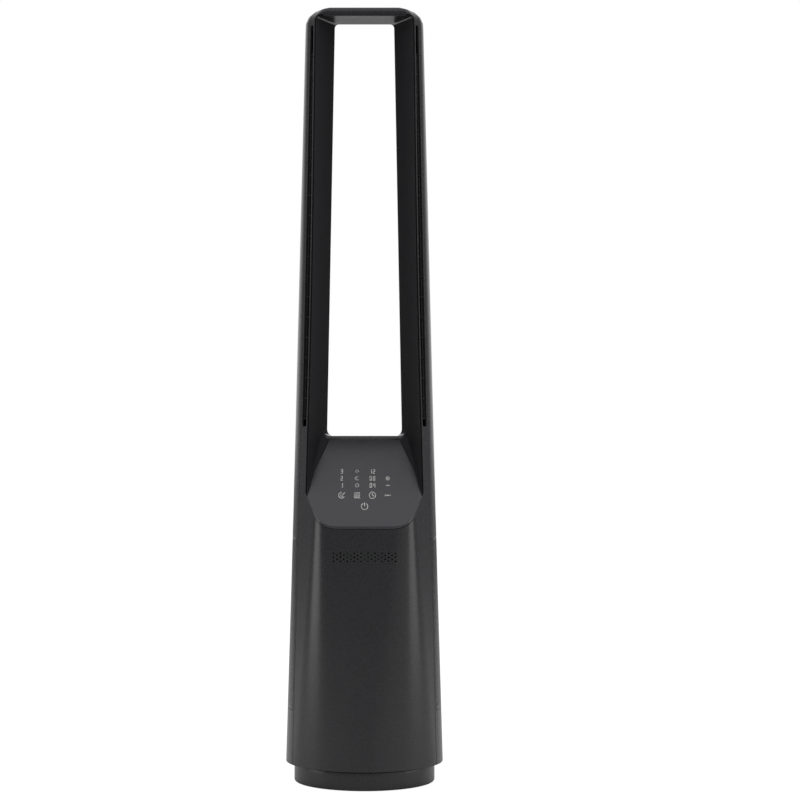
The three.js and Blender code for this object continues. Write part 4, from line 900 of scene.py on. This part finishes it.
def outlet_comb(side):
    """Ribs that cross an outlet slot, on one rail behind its edge."""
    heights = [RIB_FIRST_Z + i * RIB_PITCH for i in range(RIB_COUNT)]
    near = SLOT_FROM_SEAM + GAP
    wide = min(facet_reach(z) for z in heights) - SLOT_FROM_LIP - GAP - near
    seeds = [facet_place(z, near + wide / 2, RIB_RECESS + RIB_DEPTH / 2) for z in heights]
    ribs, faces = grown(rib_tree(finishes["black_plastic"]), seeds,
                        {"Length": wide, "Height": RIB_THICKNESS, "Depth": RIB_DEPTH})
    vertices = [tuple(p) for p in ribs]
    first, count = len(vertices), len(RAIL_OUTLINE)
    for z in (heights[0] - RIB_THICKNESS, heights[-1] + RIB_THICKNESS):
        vertices += [facet_place(z, SLOT_FROM_SEAM + x, WALL + GAP + depth) for x, depth in RAIL_OUTLINE]
    foot, top = range(first, first + count), range(first + count, first + 2 * count)
    faces += [tuple(foot), tuple(reversed(top)), *band(foot, top)]
    vertices = [(side * x, y, z) for x, y, z in vertices]
    return finished("outlet_comb_" + ("right" if side > 0 else "left") + "_ribs", vertices, faces,
                    merge=0.001, sharp=40)


# ---------------------------------------------------------------- base and printed symbols
def base_housing():
    """Round foot cover: rolled lower edge, eased top edge, and the hole of the power inlet."""
    r, low, high, roll, ease = BASE_RADIUS, BASE_FOOT_Z, BASE_TOP_Z, BASE_ROLL, BASE_EASE
    turns, inlet = (0.4, 0.8, 1.2, QUARTER), (INLET_Z - INLET_HALF[1], INLET_Z + INLET_HALF[1])
    rows = [(r - 3, low), (r - roll, low)]
    rows += [(r - roll + roll * sin(a), low + roll - roll * cos(a)) for a in turns]
    outer = len(rows)
    rows += [(r, inlet[0]), (r, inlet[1]), (r, high - ease)]
    rows += [(r - ease + ease * cos(a), high - ease + ease * sin(a)) for a in turns]
    rows += [(BASE_STEP, high), (SPINDLE_HOLE, high), (SPINDLE_HOLE, high - WALL), (r - WALL, high - WALL)]
    inner = len(rows)
    rows += [(r - WALL, inlet[1]), (r - WALL, inlet[0]), (r - WALL, low + roll)]
    side, size = asin(INLET_HALF[0] / r), len(rows)
    angles = [QUARTER + side + (2 * pi - 2 * side) * i / BASE_SIDES for i in range(BASE_SIDES + 1)]
    vertices = [(radius * cos(a), radius * sin(a), z) for a in angles for radius, z in rows]
    lines = [range(i * size, (i + 1) * size) for i in range(len(angles))]
    faces = [face for line, after in zip(lines, lines[1:]) for face in band(line, after)]
    last, start = lines[-1], lines[0]
    faces += [face for k, face in enumerate(band(last, start)) if k not in (outer, inner)]
    faces += band([last[outer], start[outer], start[outer + 1], last[outer + 1]],
                  [last[inner + 1], start[inner + 1], start[inner], last[inner]])
    return finished("base_cover_moulding", vertices, faces, merge=0.001, sharp=35)


SEGMENTS = {"a": ((-1, 2), (1, 2)), "b": ((1, 2), (1, 0)), "c": ((1, 0), (1, -2)), "d": ((-1, -2), (1, -2)),
            "e": ((-1, -2), (-1, 0)), "f": ((-1, 0), (-1, 2)), "g": ((-1, 0), (1, 0))}
DIGITS = {"0": "abcdef", "1": "bc", "2": "abged", "3": "abgcd", "4": "fgbc", "8": "abcdefg"}
DIGIT_SCALE = 1.25


def arc(radius, start, end, count=14, centre=(0, 0)):
    """Line along an arc, in degrees anticlockwise from the right."""
    turns = [radians(mix(start, end, i / count)) for i in range(count + 1)]
    return [(centre[0] + radius * cos(a), centre[1] + radius * sin(a)) for a in turns]


def number(text):
    """Lines of a plain number."""
    lines = []
    for i, digit in enumerate(text):
        shift = (i - (len(text) - 1) / 2) * 3.2 * DIGIT_SCALE
        for name in DIGITS[digit]:
            lines.append([(shift + x * DIGIT_SCALE * 0.8, y * DIGIT_SCALE) for x, y in SEGMENTS[name]])
    return lines


def symbol_lines():
    """Each symbol's place in the panel's axes, its lines and their width."""
    wave = [[(x / 4, 0.9 * sin(x / 8 * pi * 2) + y) for x in range(-14, 15)]
            for y in (-2.6, 0, 2.6)]
    speed = [arc(3.6, 70, 330), arc(3.6, 90, 40), arc(1.4, 0, 360), [(1.2, 0.8), (3.9, 3.0)]]
    clock = [arc(3.9, 0, 360, 20), [(0, 0), (0, 2.4)], [(0, 0), (1.7, -1.1)]]
    swing = [arc(0.6, 0, 360, 8, (-3, 0)), arc(0.6, 0, 360, 8, (3, 0)), [(-1.8, 0), (1.8, 0)]]
    power = [arc(3.9, -240, 60, 20), [(0, 4.6), (0, 0.6)]]
    leaf = [arc(2.2, 200, 340, 8, (0, 1.2)), arc(2.2, 20, 160, 8, (0, -0.4))]
    moon = [arc(2.1, 60, 300), arc(1.7, 70, 290, centre=(0.9, 0))]
    sieve = [arc(2.2, 0, 360), [(-2.2, 0), (2.2, 0)], [(0, -2.2), (0, 2.2)]]
    columns = ((number("3"), number("2"), number("1"), speed), (leaf, moon, [arc(2.0, 0, 360)], wave),
               (number("12"), number("08"), number("04"), clock), (None, sieve, sieve[1:2], swing))
    table = [((x, y), lines, 0.8 if y > SYMBOL_ROWS[-1] else 1.0)
             for x, parts in zip(SYMBOL_COLUMNS, columns) for y, lines in zip(SYMBOL_ROWS, parts) if lines]
    return [*table, ((0.0, POWER_ROW), power, 1.0)]


def panel_symbols():
    """Printed symbols as thin raised ink on the panel."""
    vertices, faces = [], []
    for (cx, cy), lines, width in symbol_lines():
        strokes = [np.array(ends, float) for line in lines for ends in zip(line, line[1:])]
        for a, b in strokes:
            step = (b - a) / (np.linalg.norm(b - a) + 1e-9) * width / 2
            across = np.array((-step[1], step[0]))
            corners = [a - step * 0.6 - across, b + step * 0.6 - across,
                       b + step * 0.6 + across, a - step * 0.6 + across]
            first = len(vertices)
            for out in (INK, INK_FOOT):
                vertices += [on_slope(cx + x, cy + SYMBOL_STRETCH * y, out) for x, y in corners]
            face, back = range(first, first + 4), range(first + 4, first + 8)
            faces += [tuple(face), tuple(reversed(back))]
            faces += [(face[(k + 1) % 4], face[k], back[k], back[(k + 1) % 4]) for k in range(4)]
    return finished("panel_printed_symbols", vertices, faces)


# ---------------------------------------------------------------- materials
def colour(hex_code):
    """sRGB hex to linear, for every colour in the scene."""
    parts = [int(hex_code[i:i + 2], 16) / 255 for i in (1, 3, 5)]
    return [p / 12.92 if p <= 0.04045 else ((p + 0.055) / 1.055) ** 2.4 for p in parts] + [1]


def node(tree, kind, inputs=(), **settings):
    """Adds a node with its settings; each input is a value, a socket or a node's first output."""
    made = tree.nodes.new(kind)
    for name, value in settings.items():
        setattr(made, name, value)
    for socket, value in dict(inputs).items():
        value = value.outputs[0] if isinstance(value, bpy.types.Node) else value
        if isinstance(value, bpy.types.NodeSocket):
            tree.links.new(value, made.inputs[socket])
        else:
            made.inputs[socket].default_value = value
    return made


def emptied(owner):
    """The node tree of a new material or world, with nothing in it."""
    owner.use_nodes = True
    owner.node_tree.nodes.clear()
    return owner.node_tree


def per_mm(size):
    """Texture scale at which one cell of a pattern is so many millimetres."""
    return 1 / (size * MM)


def surface(name, dark, light, grain, roughness, relief, cloud=40.0, stretch=(1, 1, 1), **values):
    """Material with faint clouds of tone, and a grain that breaks up the gloss and the surface.

    Grain and cloud are sizes and relief a height in millimetres; values go on the shader.
    """
    material = bpy.data.materials.new(name)
    tree = emptied(material)
    place = node(tree, "ShaderNodeTexCoord").outputs["Object"]
    run = node(tree, "ShaderNodeMapping", {"Vector": place, "Scale": stretch})
    clouds = node(tree, "ShaderNodeTexNoise", {"Vector": place, "Scale": per_mm(cloud), "Detail": 3})
    fine = node(tree, "ShaderNodeTexNoise", {"Vector": run, "Scale": per_mm(grain), "Detail": 2})
    tint = node(tree, "ShaderNodeMix", {0: clouds, 6: colour(dark), 7: colour(light)},
                data_type="RGBA")
    gloss = node(tree, "ShaderNodeMapRange", {"Value": fine, "From Min": 0.3, "From Max": 0.7,
                                              "To Min": roughness[0], "To Max": roughness[1]})
    bump = node(tree, "ShaderNodeBump", {"Height": fine, "Distance": relief * MM})
    shader = node(tree, "ShaderNodeBsdfPrincipled", {
        "Base Color": tint.outputs[2], "Roughness": gloss, "Normal": bump, **values})
    node(tree, "ShaderNodeOutputMaterial", {"Surface": shader})
    return material


def soldered_board():
    """FR4 board under green solder mask: fine parallel tracks show through as a lighter green."""
    material = surface("fr4_green_solder_mask", "#0f3a24", "#16492f", 0.8, (0.3, 0.42), 0.02, IOR=1.52)
    tree = material.node_tree
    tracks = node(tree, "ShaderNodeTexBrick", {
        "Vector": tree.nodes["Texture Coordinate"].outputs["Object"], "Scale": per_mm(1),
        "Mortar Size": 0.25, "Brick Width": 7.0, "Row Height": 1.3,
        "Color1": colour("#16492f"), "Color2": colour("#134229"), "Mortar": colour("#2b6b45")})
    tree.links.new(tracks.outputs["Color"], tree.nodes["Principled BSDF"].inputs["Base Color"])
    return material


def make_finishes():
    """The material of every slot in the record, and of a few special faces."""
    return {
        # ABS moulded in a satin, fine-etched tool: soft broad highlights on near black; the
        # etching is about 0.1 mm and is drawn at 0.9 mm to show at all
        "dark_shell": surface("charcoal_abs_satin_moulded", "#1c1c1e", "#202022", 0.9, (0.24, 0.3), 0.0015,
                              IOR=1.53),
        # the same ABS from a coarsely etched tool: the inside of the loop has hardly any gloss
        "loop_wall": surface("charcoal_abs_matt_etched", "#29292b", "#2e2e30", 1.2, (0.6, 0.7), 0.01,
                             **{"IOR": 1.53, "Specular IOR Level": 0.01}),
        # painted shade: a near-black stand-in for the shadow on the hidden faces inside the air duct
        "duct_black": surface("painted_shade_duct_black", "#070708", "#0a0a0b", 1.2, (0.7, 0.8), 0.01,
                              **{"IOR": 1.53, "Specular IOR Level": 0.05}),
        # ABS from a polished tool: crisp reflections, with a slow wave like moulding sink
        "panel_gloss": surface("graphite_abs_polished", "#2c2c30", "#303035", 14, (0.10, 0.14), 0.02,
                               IOR=1.53),
        # polypropylene from an unpolished tool: dull black with a soft sheen
        "black_plastic": surface("black_pp_moulded", "#101012", "#161618", 1.1, (0.45, 0.6), 0.02, IOR=1.49),
        # ABS that is never seen, straight from the tool: dull, slightly uneven dark grey
        "inner_plastic": surface("grey_abs_unpolished", "#38383b", "#414145", 1.5, (0.5, 0.65), 0.03,
                                 IOR=1.53),
        # acetal: milky white and waxy, so light goes a little way in
        "white_plastic": surface("white_acetal_moulded", "#dcdad2", "#e8e6df", 2.0, (0.35, 0.5), 0.01, **{
            "IOR": 1.48, "Subsurface Weight": 0.15, "Subsurface Radius": (0.002, 0.002, 0.0015)}),
        # two-part ink, pad printed: flat off-white with a slightly uneven edge to its cover
        "printed_ink": surface("white_ink_pad_printed", "#c6c6c4", "#d2d2cf", 0.6, (0.5, 0.6), 0.002,
                               cloud=3.0, IOR=1.5),
        # glass-filled nylon: matte grey with short pale fibres along the flow, drawn 2 mm long
        "impeller_plastic": surface("grey_nylon_glass_filled", "#5d5f63", "#75777b", 1.0, (0.55, 0.7), 0.03,
                                    cloud=2.0, stretch=(1, 1, 3), IOR=1.53),
        "circuit_board": soldered_board(),
        # bright steel, turned or cold rolled: fine lines round the piece stretch its highlights
        "steel": surface("bright_steel_turned", "#9b9b9d", "#a9a9ab", 0.8, (0.24, 0.4), 0.006,
                         stretch=(1, 1, 12), Metallic=1.0),
        # natural rubber, moulded: nearly black, no gloss, faint dusty bloom
        "rubber": surface("black_rubber_moulded", "#131313", "#1e1e1d", 0.9, (0.75, 0.9), 0.05,
                          cloud=12, IOR=1.52),
    }


# ---------------------------------------------------------------- camera, floor and light
def add_camera():
    """Level camera in front of the fan; the fan stands a little left of the middle."""
    lens = bpy.data.cameras.new("front_view")
    camera = bpy.data.objects.new("front_view", lens)
    camera.location = CAMERA_AT
    camera.rotation_euler = (QUARTER, 0, 0)
    lens.sensor_width, lens.lens, lens.clip_end = SENSOR, LENS, 50
    lens.shift_x = FRAME_SHIFT / FRAME
    bpy.context.collection.objects.link(camera)
    bpy.context.scene.camera = camera


def add_floor():
    """White sweep of paper: the camera sees it white, with the fan's shadow kept on it."""
    r = FLOOR_REACH
    floor = finished("floor", [(-r, -r, 0), (r, -r, 0), (r, r, 0), (-r, r, 0)], [(0, 1, 2, 3)])
    material = bpy.data.materials.new("white_paper_sweep")
    tree = emptied(material)
    place = node(tree, "ShaderNodeTexCoord").outputs["Object"]
    fibre = node(tree, "ShaderNodeTexNoise", {"Vector": place, "Scale": per_mm(3)})
    tint = node(tree, "ShaderNodeMix", {0: fibre, 6: colour("#e4e4e4"), 7: colour("#eaeaea")},
                data_type="RGBA")
    paper = node(tree, "ShaderNodeBsdfDiffuse", {"Color": tint.outputs[2]})
    white = node(tree, "ShaderNodeEmission", {"Color": (1, 1, 1, 1), "Strength": FLOOR_GLOW})
    path = node(tree, "ShaderNodeLightPath")
    share = node(tree, "ShaderNodeMath", {0: path.outputs["Is Camera Ray"], 1: FLOOR_WHITE},
                 operation="MULTIPLY")
    seen = node(tree, "ShaderNodeMixShader", {0: share, 1: paper, 2: white})
    node(tree, "ShaderNodeOutputMaterial", {"Surface": seen})
    floor.data.materials.append(material)


def add_lamp(name, size, at, towards, watts, glossy):
    """Soft rectangular lamp that the camera doesn't see."""
    lamp = bpy.data.lights.new(name, "AREA")
    lamp.shape = "RECTANGLE"
    lamp.size, lamp.size_y = size
    lamp.energy = watts
    obj = bpy.data.objects.new(name, lamp)
    obj.location = at
    obj.rotation_euler = (Vector(towards) - obj.location).to_track_quat("-Z", "Y").to_euler()
    obj.visible_camera, obj.visible_glossy = False, glossy
    bpy.context.collection.objects.link(obj)


def add_studio():
    """White backdrop behind, a dim room in front, tall strip lamps at the sides and a soft one above."""
    world = bpy.data.worlds.new("studio")
    bpy.context.scene.world = world
    tree = emptied(world)
    towards = node(tree, "ShaderNodeSeparateXYZ", {0: node(tree, "ShaderNodeTexCoord").outputs["Generated"]})
    behind, right, before = (node(tree, "ShaderNodeMapRange", {
        "Value": towards.outputs[axis], "From Min": low, "From Max": high})
        for axis, low, high in (("Y", *BACKDROP_EDGE), ("X", 0.2, 0.85), ("Y", 0.0, -0.35)))
    window = node(tree, "ShaderNodeMath", {0: right, 1: before}, operation="MULTIPLY")
    room = node(tree, "ShaderNodeMix", {0: window, 6: colour(ROOM_DIM), 7: colour(ROOM_RIGHT)},
                data_type="RGBA")
    ray = node(tree, "ShaderNodeLightPath").outputs
    mirrored = node(tree, "ShaderNodeMath", {0: ray["Is Glossy Ray"], 1: ray["Is Transmission Ray"]},
                    operation="MAXIMUM")
    shown = node(tree, "ShaderNodeMath", {0: mirrored, 1: behind}, operation="MULTIPLY")
    white = node(tree, "ShaderNodeMath", {0: ray["Is Camera Ray"], 1: shown}, operation="MAXIMUM")
    mixed = node(tree, "ShaderNodeMix", {0: white, 6: room.outputs[2], 7: (1, 1, 1, 1)},
                 data_type="RGBA")
    back = node(tree, "ShaderNodeBackground", {"Color": mixed.outputs[2], "Strength": 1})
    node(tree, "ShaderNodeOutputWorld", {"Surface": back})
    for lamp in LAMPS:
        add_lamp(*lamp)
    bpy.context.scene.view_settings.view_transform = "Standard"


# ---------------------------------------------------------------- the fan
def front_finish(centre, normal):
    """Painted shade: black on the faces that look back into the duct."""
    return int(normal.y > 0.05)


def rear_finish(centre, normal):
    """Painted shade: black on the loop's faces that look inwards."""
    return int(normal.x * centre.x + normal.y * (centre.y + 0.02) < 0 and centre.z > 0.34)


def lining_finish(centre, normal):
    """Matt walls, painted shade in black behind them, and a satin ceiling and shelf."""
    if abs(normal.z) > 0.7:
        return 1 if (normal.z > 0) == (centre.z > 0.6) else 2
    return int(normal.x * centre.x > 0.1 * abs(centre.x))


def dressed(maker, body, node_name, finish, by_face=None):
    """Makes a piece, ties it to its body, hides the CAD node it stands in for and gives it its finish; hidden
    faces get black painted shade.
    """
    piece = maker()
    piece.data.materials.append(finishes[finish])
    if by_face:
        # painted shade: the near-black duct finish goes on faces that only sit in shadow
        piece.data.materials.append(finishes["duct_black"])
        piece.data.materials.append(finishes["dark_shell"])
        for face in piece.data.polygons:
            face.material_index = by_face(face.center, face.normal)
    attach(piece, body)
    if node_name:
        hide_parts(node_name)


finishes = make_finishes()
dressed(front_shell, "body", "front_shell", "dark_shell", front_finish)
dressed(rear_shell, "body", "rear_shell", "dark_shell", rear_finish)
dressed(loop_lining, "body", "loop_lining", "loop_wall", lining_finish)
dressed(control_panel, "body", "control_panel", "panel_gloss")
dressed(panel_symbols, "body", None, "printed_ink")
dressed(intake_grille, "body", "intake_grille", "dark_shell")
for side, node_name in ((1, "outlet_comb_right"), (-1, "outlet_comb_left")):
    dressed(lambda: outlet_comb(side), "body", node_name, "black_plastic")
dressed(base_housing, "base", "base_housing", "dark_shell")

add_camera()
add_floor()
add_studio()
slots = {part["node"]: part["material_slot"] for part in frame["record"]["subparts"]}
for name, obj in frame["nodes"].items():
    obj.data.materials.clear()
    obj.data.materials.append(finishes[slots[name]])
